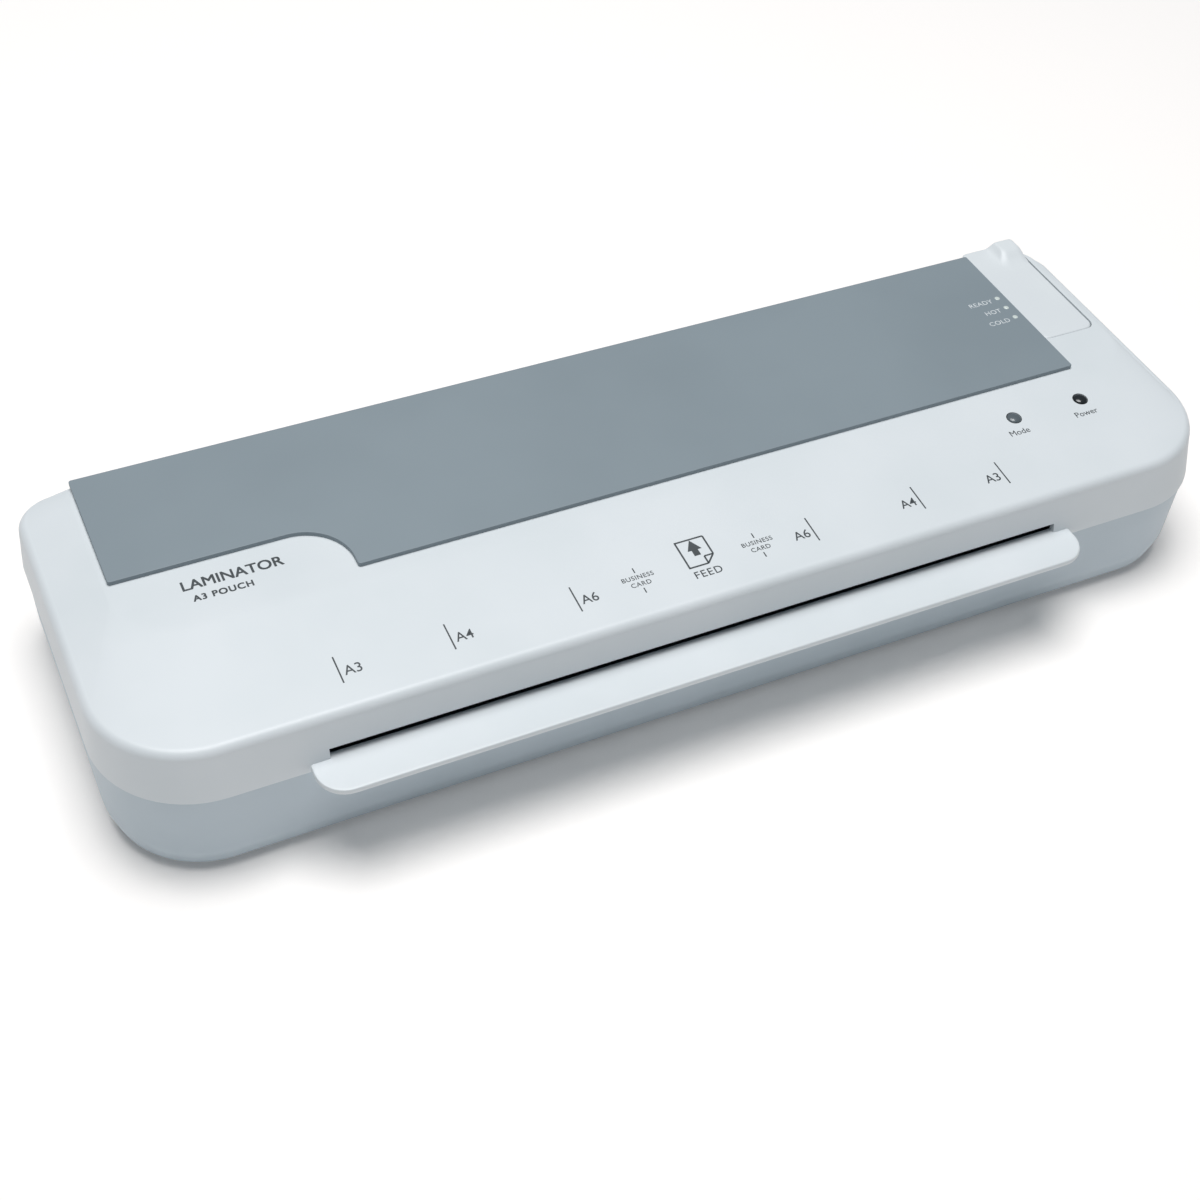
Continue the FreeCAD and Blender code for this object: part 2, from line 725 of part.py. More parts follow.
def pressure_springs():
    """Bowed leaf springs in the plates' slots, pushing the upper bushes down."""
    low = upper_axis_z + bush_radius
    rise = plate_top_z - plate_slot_wall - low
    half = bush_radius - 0.4
    leaf = 0.4
    shape = [(t, (rise - leaf) * t * t) for t in [k / 6 - 1 for k in range(13)]]
    made = []
    for y in (hot_y, cold_y):
        under = [(y + half * t, low + lift) for t, lift in shape]
        over = [(y + half * t, low + lift + leaf) for t, lift in reversed(shape)]
        for x in (left_plate_x, right_plate_x):
            made.append(side_prism(under + over, x, x + plate_thickness))
    return Part.makeCompound(made)


# ---------------------------------------------------------------- gears
hot_lower_phase = math.pi / roller_teeth * 0.5
hot_upper_phase = meshed_phase(roller_teeth, hot_lower_phase, roller_teeth, math.pi / 2)
idler_phase = meshed_phase(roller_teeth, hot_lower_phase, idler_teeth, 0)
cold_lower_phase = meshed_phase(idler_teeth, idler_phase, roller_teeth, 0)
cold_upper_phase = meshed_phase(roller_teeth, cold_lower_phase, roller_teeth, math.pi / 2)
pinion_direction = math.atan2(pinion_z - lower_axis_z, pinion_y - hot_y)
pinion_phase = meshed_phase(drive_teeth, 0, pinion_teeth, pinion_direction)


def roller_gear(y, z, phase):
    return gear_blank(roller_teeth, phase, gear_right_x - gear_width, gear_width, y, z, journal_radius)


def drive_gear():
    """The large gear on the lower hot roller, lightened by five round holes."""
    wheel = gear_blank(drive_teeth, 0, drive_right_x - drive_width, drive_width, hot_y, lower_axis_z,
                       journal_radius)
    for k in range(5):
        turn = 2 * math.pi * k / 5
        ring = (journal_radius + gear_module * drive_teeth / 2) / 2
        wheel = wheel.cut(rod_x(3, drive_right_x - drive_width - 1, drive_right_x + 1,
                                hot_y + ring * math.cos(turn), lower_axis_z + ring * math.sin(turn)))
    return wheel


def idler_gear():
    return gear_blank(idler_teeth, idler_phase, gear_right_x - gear_width, gear_width, idler_y,
                      lower_axis_z, 3 + running_clearance)


def idler_pin():
    """The shouldered stub that the idler turns on, riveted into the left plate."""
    stub = rod_x(3, gear_right_x - gear_width - 0.6, left_plate_x, idler_y, lower_axis_z)
    rivet = rod_x(1.5, left_plate_x - 1, left_plate_x + plate_thickness + 0.8, idler_y, lower_axis_z)
    collar = rod_x(4.5, gear_right_x + 0.2, left_plate_x, idler_y, lower_axis_z)
    head = rod_x(4.5, gear_right_x - gear_width - 1.2, gear_right_x - gear_width - 0.3, idler_y,
                 lower_axis_z)
    return joined([stub, rivet, collar, head])


def motor_pinion():
    return gear_blank(pinion_teeth, pinion_phase, drive_right_x - drive_width - 0.5,
                      drive_width + 1, pinion_y, pinion_z, motor_shaft_radius)


def motor_shaft():
    return rod_x(motor_shaft_radius, bracket_right_x - bracket_thickness - 6, drive_right_x + 2,
                 pinion_y, pinion_z)


# ---------------------------------------------------------------- motor
def post_places():
    """Where three posts carry the motor bracket off the left plate, clear of every gear."""
    return [(pinion_y - motor_radius, nip_z + 2), (idler_y + 6, plate_foot_z + 10.5),
            (idler_y + 5, upper_axis_z + 1)]


def motor_bracket():
    left = pinion_y - motor_radius - 8
    right = idler_y + 10.5
    points = [(left, pinion_z - 7), (left, nip_z + 7), (hot_y - 20, plate_top_z - 3),
              (right, plate_top_z - 3), (right, plate_foot_z + 5), (hot_y - 14, plate_foot_z + 1.5),
              (hot_y - 46, plate_foot_z + 7)]
    x = bracket_right_x - bracket_thickness
    bracket = side_prism(points, x, bracket_right_x)
    bracket = bracket.cut(rod_x(motor_shaft_radius + 2, x - 1, bracket_right_x + 1, pinion_y, pinion_z))
    for y, z in post_places():
        bracket = bracket.cut(rod_x(1.6, x - 1, bracket_right_x + 1, y, z))
    return bracket


def bracket_posts():
    return Part.makeCompound([rod_x(post_radius, bracket_right_x, left_plate_x, y, z)
                              for y, z in post_places()])


def bracket_screws():
    x = bracket_right_x - bracket_thickness
    made = [joined([rod_x(3, x - 1.8, x, y, z), rod_x(1.6, x - 0.5, bracket_right_x, y, z)])
            for y, z in post_places()]
    return made


def gear_motor():
    """A round synchronous motor with its gearbox, two ears and a well for its shaft."""
    right = bracket_right_x - bracket_thickness
    can = rod_x(motor_radius, right - motor_depth, right, pinion_y, pinion_z)
    back = rod_x(motor_radius - 6, right - motor_depth - 2, right - motor_depth, pinion_y, pinion_z)
    ear = block(right - 1.2, right, pinion_y - motor_radius - 5, pinion_y - motor_radius + 3,
                pinion_z - 5, pinion_z + 5)
    well = rod_x(motor_shaft_radius + running_clearance, right - 6.5, right + 1, pinion_y, pinion_z)
    return joined([can, back, ear]).cut(well)


# ---------------------------------------------------------------- heating
shoe_inner = roller_radius + shoe_clearance
shoe_outer = shoe_inner + shoe_wall


def heating_shoe(z, side):
    """An aluminium shoe round the far half of a hot roller, from plate to plate, with a flat pad
    for its heater; side is 1 for the upper shoe and -1 for the lower."""
    x0 = left_plate_x + plate_thickness
    x1 = right_plate_x
    ring = rod_x(shoe_outer, x0, x1, hot_y, z).cut(rod_x(shoe_inner, x0 - 1, x1 + 1, hot_y, z))
    half = math.radians(shoe_half_angle)
    reach = 3 * shoe_outer
    across, along = reach * math.sin(half), side * reach * math.cos(half)
    keep = side_prism([(hot_y, z), (hot_y - across, z + along), (hot_y - across, z + side * reach),
                       (hot_y + across, z + side * reach), (hot_y + across, z + along)], x0, x1)
    pad = heater_bar(z, side * heater_angle, x0 + 12, x1 - 12, shoe_inner + 0.6, pad_radius)
    shoe = ring.common(keep).fuse(pad)
    if side < 0:
        shoe = shoe.fuse(heater_bar(z, 180, feed_center_x - 60, feed_center_x + 60,
                                    shoe_inner + 0.6, pad_radius))
    return shoe.removeSplitter()


pad_radius = shoe_outer + 0.6


def heater_bar(z, angle, x0, x1, r0, r1):
    """A flat bar outside a hot roller, from radius r0 to r1; the angle turns it forward from the
    top, and a negative one forward from the bottom."""
    bar = block(x0, x1, hot_y - heater_width / 2, hot_y + heater_width / 2, z + r0, z + r1)
    turn = angle if angle >= 0 else 180 + angle
    bar.rotate(at(0, hot_y, z), X_AXIS, turn)
    return bar


def heater_strips():
    """The mica heating strips on both shoes."""
    return Part.makeCompound([
        heater_bar(z, angle, feed_center_x - sleeve_half + 14, feed_center_x + sleeve_half - 14,
                   pad_radius, pad_radius + heater_thickness)
        for z, angle in ((upper_axis_z, heater_angle), (lower_axis_z, -heater_angle))])


def thermostat():
    """A round bimetal thermostat under the lower shoe's flat."""
    z = lower_axis_z - pad_radius
    can = rod_z(6, feed_center_x + 30, hot_y, z - 5, z)
    tabs = block(feed_center_x + 18, feed_center_x + 42, hot_y - 2, hot_y + 2, z - 5, z - 3.8)
    return joined([can, tabs])


def thermal_fuse():
    return rod_x(1.5, feed_center_x - 50, feed_center_x - 38, hot_y, lower_axis_z - pad_radius - 1.5)


# ---------------------------------------------------------------- paper guides
def guide(y0, y1, z0, z1, up):
    """A thin guide from plate to plate, from height z0 at y0 to z1 at y1; up puts it above."""
    t = guide_thickness if up else -guide_thickness
    return side_prism([(y0, z0), (y1, z1), (y1, z1 + t), (y0, z0 + t)],
                      left_plate_x + plate_thickness, right_plate_x)


guide_low_z = nip_z - guide_gap / 2
guide_high_z = nip_z + guide_gap / 2
roller_reach = 0.75 * roller_radius + guide_clearance


def entry_guide_lower():
    return guide(guide_front_y, hot_y - roller_reach, slot_floor_z - 0.3, guide_low_z, False)


def entry_guide_upper():
    return guide(guide_front_y, hot_y - roller_reach, slot_top_z + 0.3, guide_high_z, True)


def transfer_guides():
    """The flat pair between the hot and the cold rollers."""
    y0, y1 = hot_y + roller_reach, cold_y - roller_reach
    return Part.makeCompound([guide(y0, y1, guide_low_z, guide_low_z, False),
                              guide(y0, y1, guide_high_z, guide_high_z, True)])


def exit_guides():
    """The pair behind the cold rollers, out to the rear wall's slot."""
    y0, y1 = cold_y + roller_reach, back_y - wall - 2.5
    return Part.makeCompound([guide(y0, y1, guide_low_z, seam_z + 0.3, False),
                              guide(y0, y1, guide_high_z, seam_z + exit_height - 0.3, True)])


# ---------------------------------------------------------------- corner rounder
gap_top_z = die_z + die_gap
punch_top_z = lever_top_z - lever_thickness - 2.4
collar_thickness = 1.2
spring_turns = 3
base_top_z = punch_top_z - collar_thickness - punch_travel - spring_wire * (spring_turns + 1.2)
base_left_x = lever_left_x + lever_skirt_wall + 0.6
base_right_x = lever_right_x - lever_skirt_wall - 0.6
base_back_y = back_y - chamfer_inset - wall - 0.5


def corner_lever():
    """The press lever: a plate with skirts, a raised thumb pad at its rear, an apron over the
    opening and a rib that pushes the punch."""
    rear = back_y + lever_overhang
    under = lever_top_z - lever_thickness
    plate = plan_plate(lever_left_x, lever_right_x, lever_front_y, rear, 2, 2.5, under, lever_top_z)
    thumb = plan_plate(lever_right_x - thumb_width, lever_right_x, rear - thumb_length, rear, 4, 2.5,
                       lever_top_z - 1, lever_top_z + thumb_height)
    rim = [e for e in thumb.Edges if e.BoundBox.ZMin > lever_top_z + thumb_height - 0.01]
    pieces = [plate, thumb.makeFillet(2.2, rim)]
    for x0 in (lever_left_x, lever_right_x - lever_skirt_wall):
        pieces.append(block(x0, x0 + lever_skirt_wall, lever_front_y + 3, back_y - wall - 4,
                            under - lever_skirt, under + 0.5))
    pieces.append(block(lever_left_x, lever_right_x, back_y + lever_apron_gap, rear - 0.3,
                        lever_top_z - lever_apron_height, under + 0.5))
    axis_z = punch_top_z + rib_gap + 2.0
    pieces.append(rod_x(2.0, punch_x - 5, punch_x + 5, punch_y, axis_z))
    pieces.append(block(punch_x - 5, punch_x + 5, punch_y - 1.4, punch_y + 1.4, axis_z - 0.5,
                        under + 0.5))
    return joined(pieces).cut(rod_x(lever_pin_radius + running_clearance, lever_left_x - 1,
                                    lever_right_x + 1, pin_y, pin_z))


def corner_base():
    """The rounder's frame: a column with a gap for the sheet, a guide and a die for the punch, a
    pocket for the chips, two ears for the lever's pin and a tab for its screws."""
    front = punch_y - 18
    column = block(base_left_x, base_right_x, front, base_back_y, floor_top_z, base_top_z)
    gap = block(base_left_x + 3.5, base_right_x + 1, front - 1, back_y, die_z, gap_top_z)
    half = punch_size / 2 + punch_clearance
    hole = block(punch_x - half, punch_x + half, punch_y - half, punch_y + half,
                 die_z - 8.5, base_top_z + 1)
    chute = block(punch_x - half - 2, punch_x + half + 1, front - 1, punch_y + half + 2,
                  floor_top_z + 3, die_z - 8)
    arm = block(base_left_x, base_right_x, pin_y - 4, front + 0.5, gap_top_z, base_top_z)
    window = block(base_left_x + 3, base_right_x - 3, pin_y - 5, front - 3, gap_top_z - 1,
                   base_top_z + 1)
    ears = [block(x0, x0 + 3, pin_y - 4, pin_y + 4, gap_top_z, pin_z + 3)
            for x0 in (base_left_x, base_right_x - 3)]
    tab = block(base_left_x, base_right_x, front - 9, front + 1, floor_top_z, floor_top_z + 2.5)
    base = joined([column.cut(gap).cut(hole).cut(chute), arm.cut(window), tab] + ears)
    for x, y in base_screw_places():
        base = base.cut(rod_z(screw_radius + 0.2, x, y, floor_top_z - 1, floor_top_z + 4))
    return base.cut(rod_x(lever_pin_radius, base_left_x - 1, base_right_x + 1, pin_y, pin_z))


def lever_pin():
    return rod_x(lever_pin_radius, lever_left_x, lever_right_x, pin_y, pin_z)


def corner_punch():
    """The steel punch: a square slug with one corner rounded off, and a collar for the spring."""
    half = punch_size / 2
    slug = block(punch_x - half, punch_x + half, punch_y - half, punch_y + half,
                 gap_top_z + 0.2, punch_top_z)
    edge = [e for e in slug.Edges if e.BoundBox.ZLength > 1
            and abs(e.BoundBox.XMin - (punch_x - half)) < 0.01
            and abs(e.BoundBox.YMin - (punch_y - half)) < 0.01]
    collar = rod_z(half + 3.4, punch_x, punch_y, punch_top_z - collar_thickness, punch_top_z - 0.2)
    return joined([slug.makeFillet(3.5, edge), collar])


def corner_spring():
    """The return spring between the frame and the punch's collar."""
    return coil(punch_size / 2 + 2.6, spring_wire, punch_x, punch_y, base_top_z,
                punch_top_z - collar_thickness, spring_turns)


# ---------------------------------------------------------------- fixings, feet and cord gland
def case_screws():
    return Part.makeCompound([screw(x, y, boss_floor_z - screw_head_height,
                                    boss_split_z + 14 - boss_floor_z) for x, y in boss_places()])


def frame_screws():
    """The screws of the roller frame, of the motor bracket and of the corner rounder's frame."""
    feet = [screw(x, y, plate_foot_z + plate_thickness + screw_head_height, 5, -1)
            for x, y in frame_screw_places()]
    tabs = [screw(x, y, floor_top_z + 2.5 + screw_head_height, 4.2, -1)
            for x, y in base_screw_places()]
    return Part.makeCompound(feet + tabs + tie_screws() + bracket_screws())


def rubber_feet():
    made = []
    for x, y in foot_places():
        pad = rod_z(foot_radius, x, y, 0, foot_height)
        rim = [e for e in pad.Edges if e.BoundBox.ZMax < 0.01]
        made.append(joined([pad.makeFillet(0.8, rim),
                            rod_z(2.5, x, y, foot_height - 0.5, floor_top_z + 0.4)]))
    return Part.makeCompound(made)


def cord_gland():
    """A grommet in the rear wall that a mains lead passes through."""
    rear = back_y - 0.6
    body = Part.makeCylinder(cord_radius + gland_wall, 8, at(cord_x, rear - 6, cord_z), Y_AXIS)
    flange = Part.makeCylinder(cord_radius + gland_wall + 2, gland_flange, at(cord_x, rear, cord_z),
                               Y_AXIS)
    hole = Part.makeCylinder(cord_radius, 30, at(cord_x, rear - 12, cord_z), Y_AXIS)
    return joined([body, flange]).cut(hole)


left_gear_end = gear_right_x - gear_width - 0.6
left_drive_end = drive_right_x - drive_width - 0.6

nodes = {
    "upper_shell": upper_shell,
    "lower_shell": lower_shell,
    "top_panel": top_panel,
    "power_key": lambda: key(power_key_x),
    "mode_key": lambda: key(mode_key_x),
    "power_switch_plunger": lambda: plunger(power_key_x),
    "mode_switch_plunger": lambda: plunger(mode_key_x),
    "key_switches": switches,
    "key_board": key_board,
    "indicator_lenses": indicator_lenses,
    "indicator_lamps": indicator_lamps,
    "indicator_board": indicator_board,
    "power_board": power_board,
    "power_components": power_components,
    "left_side_plate": lambda: side_plate(left_plate_x, -1),
    "right_side_plate": lambda: side_plate(right_plate_x, 1),
    "tie_rods": tie_rods,
    "lower_bushes": lambda: bushes(lower_axis_z),
    "upper_bushes": lambda: bushes(upper_axis_z),
    "pressure_springs": pressure_springs,
    "drive_gear": drive_gear,
    "idler_gear": idler_gear,
    "idler_pin": idler_pin,
    "motor_pinion": motor_pinion,
    "motor_shaft": motor_shaft,
    "motor_bracket": motor_bracket,
    "bracket_posts": bracket_posts,
    "gear_motor": gear_motor,
    "upper_heating_shoe": lambda: heating_shoe(upper_axis_z, 1),
    "lower_heating_shoe": lambda: heating_shoe(lower_axis_z, -1),
    "heater_strips": heater_strips,
    "thermostat": thermostat,
    "thermal_fuse": thermal_fuse,
    "entry_guide_lower": entry_guide_lower,
    "entry_guide_upper": entry_guide_upper,
    "transfer_guides": transfer_guides,
    "exit_guides": exit_guides,
    "corner_lever": corner_lever,
    "corner_base": corner_base,
    "lever_pin": lever_pin,
    "corner_punch": corner_punch,
    "corner_spring": corner_spring,
    "case_screws": case_screws,
    "frame_screws": frame_screws,
    "rubber_feet": rubber_feet,
    "cord_gland": cord_gland,
}
rollers = {
    "lower_hot": (hot_y, lower_axis_z, left_drive_end, hot_lower_phase),
    "upper_hot": (hot_y, upper_axis_z, left_gear_end, hot_upper_phase),
    "lower_cold": (cold_y, lower_axis_z, left_gear_end, cold_lower_phase),
    "upper_cold": (cold_y, upper_axis_z, left_gear_end, cold_upper_phase),
}
for label, (y, z, end, phase) in rollers.items():
    nodes[label + "_roller_core"] = lambda y=y, z=z, end=end: roller_core(y, z, end)
    nodes[label + "_roller_sleeve"] = lambda y=y, z=z: roller_sleeve(y, z)
    nodes[label + "_roller_gear"] = lambda y=y, z=z, phase=phase: roller_gear(y, z, phase)

os.makedirs("parts", exist_ok=True)
for name, make in nodes.items():
    shape = make()
    shape.exportStep(os.path.join("parts", name + ".step"))
    print(name, shape.isValid(), len(shape.Solids), round(shape.Volume, 1))
print(len(nodes), "nodes written")
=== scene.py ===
import json
import math

import bmesh
import bpy
from mathutils import Matrix, Vector


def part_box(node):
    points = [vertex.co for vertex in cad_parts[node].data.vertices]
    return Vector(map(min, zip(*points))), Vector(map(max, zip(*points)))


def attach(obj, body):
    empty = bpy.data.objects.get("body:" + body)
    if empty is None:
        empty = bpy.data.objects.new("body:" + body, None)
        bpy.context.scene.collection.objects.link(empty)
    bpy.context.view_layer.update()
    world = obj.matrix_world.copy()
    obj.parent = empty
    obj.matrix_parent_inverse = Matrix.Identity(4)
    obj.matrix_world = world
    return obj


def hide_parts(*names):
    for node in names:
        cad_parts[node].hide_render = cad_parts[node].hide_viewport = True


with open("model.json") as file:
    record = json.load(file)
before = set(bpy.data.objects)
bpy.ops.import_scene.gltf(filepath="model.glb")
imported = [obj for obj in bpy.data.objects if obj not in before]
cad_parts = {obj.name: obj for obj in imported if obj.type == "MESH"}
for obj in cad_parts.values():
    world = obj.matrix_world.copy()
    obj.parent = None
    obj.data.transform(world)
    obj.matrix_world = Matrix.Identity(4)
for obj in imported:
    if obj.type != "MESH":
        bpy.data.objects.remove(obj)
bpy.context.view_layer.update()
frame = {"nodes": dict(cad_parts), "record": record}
nodes = frame["nodes"]
mm = 0.001  # every size below is in millimetres
print("frame loaded,", len(nodes), "nodes")


# colours and materials

def linearColour(hexCode, alpha=1.0):
    channels = [int(hexCode[i:i + 2], 16) / 255 for i in (1, 3, 5)]
    return [c / 12.92 if c <= 0.04045 else ((c + 0.055) / 1.055) ** 2.4 for c in channels] + [alpha]


def addNode(tree, kind, settings=None, links=None):
    node = tree.nodes.new(kind)
    for name, value in (settings or {}).items():
        if isinstance(name, int) or name in node.inputs:
            node.inputs[name].default_value = value
        else:
            setattr(node, name, value)
    for name, source in (links or {}).items():
        tree.links.new(source, node.inputs[name])
    return node


def startMaterial(name):
    material = bpy.data.materials.new(name)
    material.use_nodes = True
    tree = material.node_tree
    tree.nodes.clear()
    output = addNode(tree, "ShaderNodeOutputMaterial")
    place = addNode(tree, "ShaderNodeTexCoord").outputs["Object"]
    return material, tree, output, place


def mouldedSurface(name, look):
    # a moulded surface: a slow drift of tone, a fine spark-eroded grain and slightly polished edges
    material, tree, output, place = startMaterial(name)
    base = linearColour(look["colour"])
    shade = linearColour(look["shade"])
    worn = linearColour(look["worn"])
    drift = addNode(tree, "ShaderNodeTexNoise", {"Scale": 1 / (look["driftMm"] * mm), "Detail": 3.0},
                    {"Vector": place})
    driftShare = addNode(tree, "ShaderNodeMapRange", {"From Min": 0.35, "From Max": 0.65},
                         {"Value": drift.outputs["Fac"]})
    tone = addNode(tree, "ShaderNodeMix", {"data_type": "RGBA", 6: base, 7: shade},
                   {0: driftShare.outputs["Result"]})
    rounded = addNode(tree, "ShaderNodeBevel", {"samples": 4, "Radius": look["edgeMm"] * mm})
    facing = addNode(tree, "ShaderNodeNewGeometry").outputs["Normal"]
    turned = addNode(tree, "ShaderNodeVectorMath", {"operation": "DOT_PRODUCT"},
                     {0: rounded.outputs["Normal"], 1: facing})
    edge = addNode(tree, "ShaderNodeMapRange",
                   {"From Min": 0.985, "From Max": 0.80, "To Min": 0.0, "To Max": look["edgeWear"]},
                   {"Value": turned.outputs["Value"]})
    speck = addNode(tree, "ShaderNodeTexNoise", {"Scale": 1 / (look["speckMm"] * mm), "Detail": 2.0},
                    {"Vector": place})
    scuffed = addNode(tree, "ShaderNodeMath", {"operation": "MULTIPLY", "use_clamp": True},
                      {0: edge.outputs["Result"], 1: speck.outputs["Fac"]})
    colour = addNode(tree, "ShaderNodeMix", {"data_type": "RGBA", 7: worn},
                     {0: scuffed.outputs["Value"], 6: tone.outputs[2]})
    grain = addNode(tree, "ShaderNodeTexVoronoi",
                    {"feature": "SMOOTH_F1", "Scale": 1 / (look["grainMm"] * mm), "Smoothness": 0.8},
                    {"Vector": place})
    bump = addNode(tree, "ShaderNodeBump", {"Strength": look["bump"], "Distance": look["bumpMm"] * mm},
                   {"Height": grain.outputs["Distance"]})
    rough = addNode(tree, "ShaderNodeMapRange",
                    {"To Min": look["roughness"] - 0.05, "To Max": look["roughness"] + 0.06},
                    {"Value": speck.outputs["Fac"]})
    shader = addNode(tree, "ShaderNodeBsdfPrincipled",
                     {"IOR": look["ior"], "Metallic": 0.0, "Coat Weight": look.get("coat", 0.0)},
                     {"Base Color": colour.outputs[2], "Roughness": rough.outputs["Result"],
                      "Normal": bump.outputs["Normal"]})
    tree.links.new(shader.outputs["BSDF"], output.inputs["Surface"])
    return material


def metalSurface(name, look):
    # a metal with a direction to its finish: streaks along one axis and a faint bloom
    material, tree, output, place = startMaterial(name)
    stretched = addNode(tree, "ShaderNodeMapping", {"Scale": look["grainAlong"]}, {"Vector": place})
    streaks = addNode(tree, "ShaderNodeTexNoise", {"Scale": 1 / (look["grainMm"] * mm), "Detail": 4.0},
                      {"Vector": stretched.outputs["Vector"]})
    bloom = addNode(tree, "ShaderNodeTexNoise", {"Scale": 1 / (look["bloomMm"] * mm), "Detail": 2.0},
                    {"Vector": place})
    colour = addNode(tree, "ShaderNodeMix",
                     {"data_type": "RGBA", 6: linearColour(look["colour"]),
                      7: linearColour(look["shade"])},
                     {0: bloom.outputs["Fac"]})
    rough = addNode(tree, "ShaderNodeMapRange",
                    {"To Min": look["roughness"] - 0.08, "To Max": look["roughness"] + 0.10},
                    {"Value": streaks.outputs["Fac"]})
    bump = addNode(tree, "ShaderNodeBump", {"Strength": 0.25, "Distance": 0.02 * mm},
                   {"Height": streaks.outputs["Fac"]})
    shader = addNode(tree, "ShaderNodeBsdfPrincipled", {"Metallic": 1.0},
                     {"Base Color": colour.outputs[2], "Roughness": rough.outputs["Result"],
                      "Normal": bump.outputs["Normal"]})
    tree.links.new(shader.outputs["BSDF"], output.inputs["Surface"])
    return material


plastic = {"colour": "#dde2e5", "shade": "#d8dee1", "worn": "#eef1f2", "driftMm": 60, "edgeMm": 0.5,
           "edgeWear": 0.5, "speckMm": 1.2, "grainMm": 0.35, "bump": 0.12, "bumpMm": 0.03,
           "roughness": 0.42, "ior": 1.53}
metal = {"colour": "#b4b6b5", "shade": "#a3a6a7", "grainAlong": (1, 1, 1), "grainMm": 0.4,
         "bloomMm": 12, "roughness": 0.38}

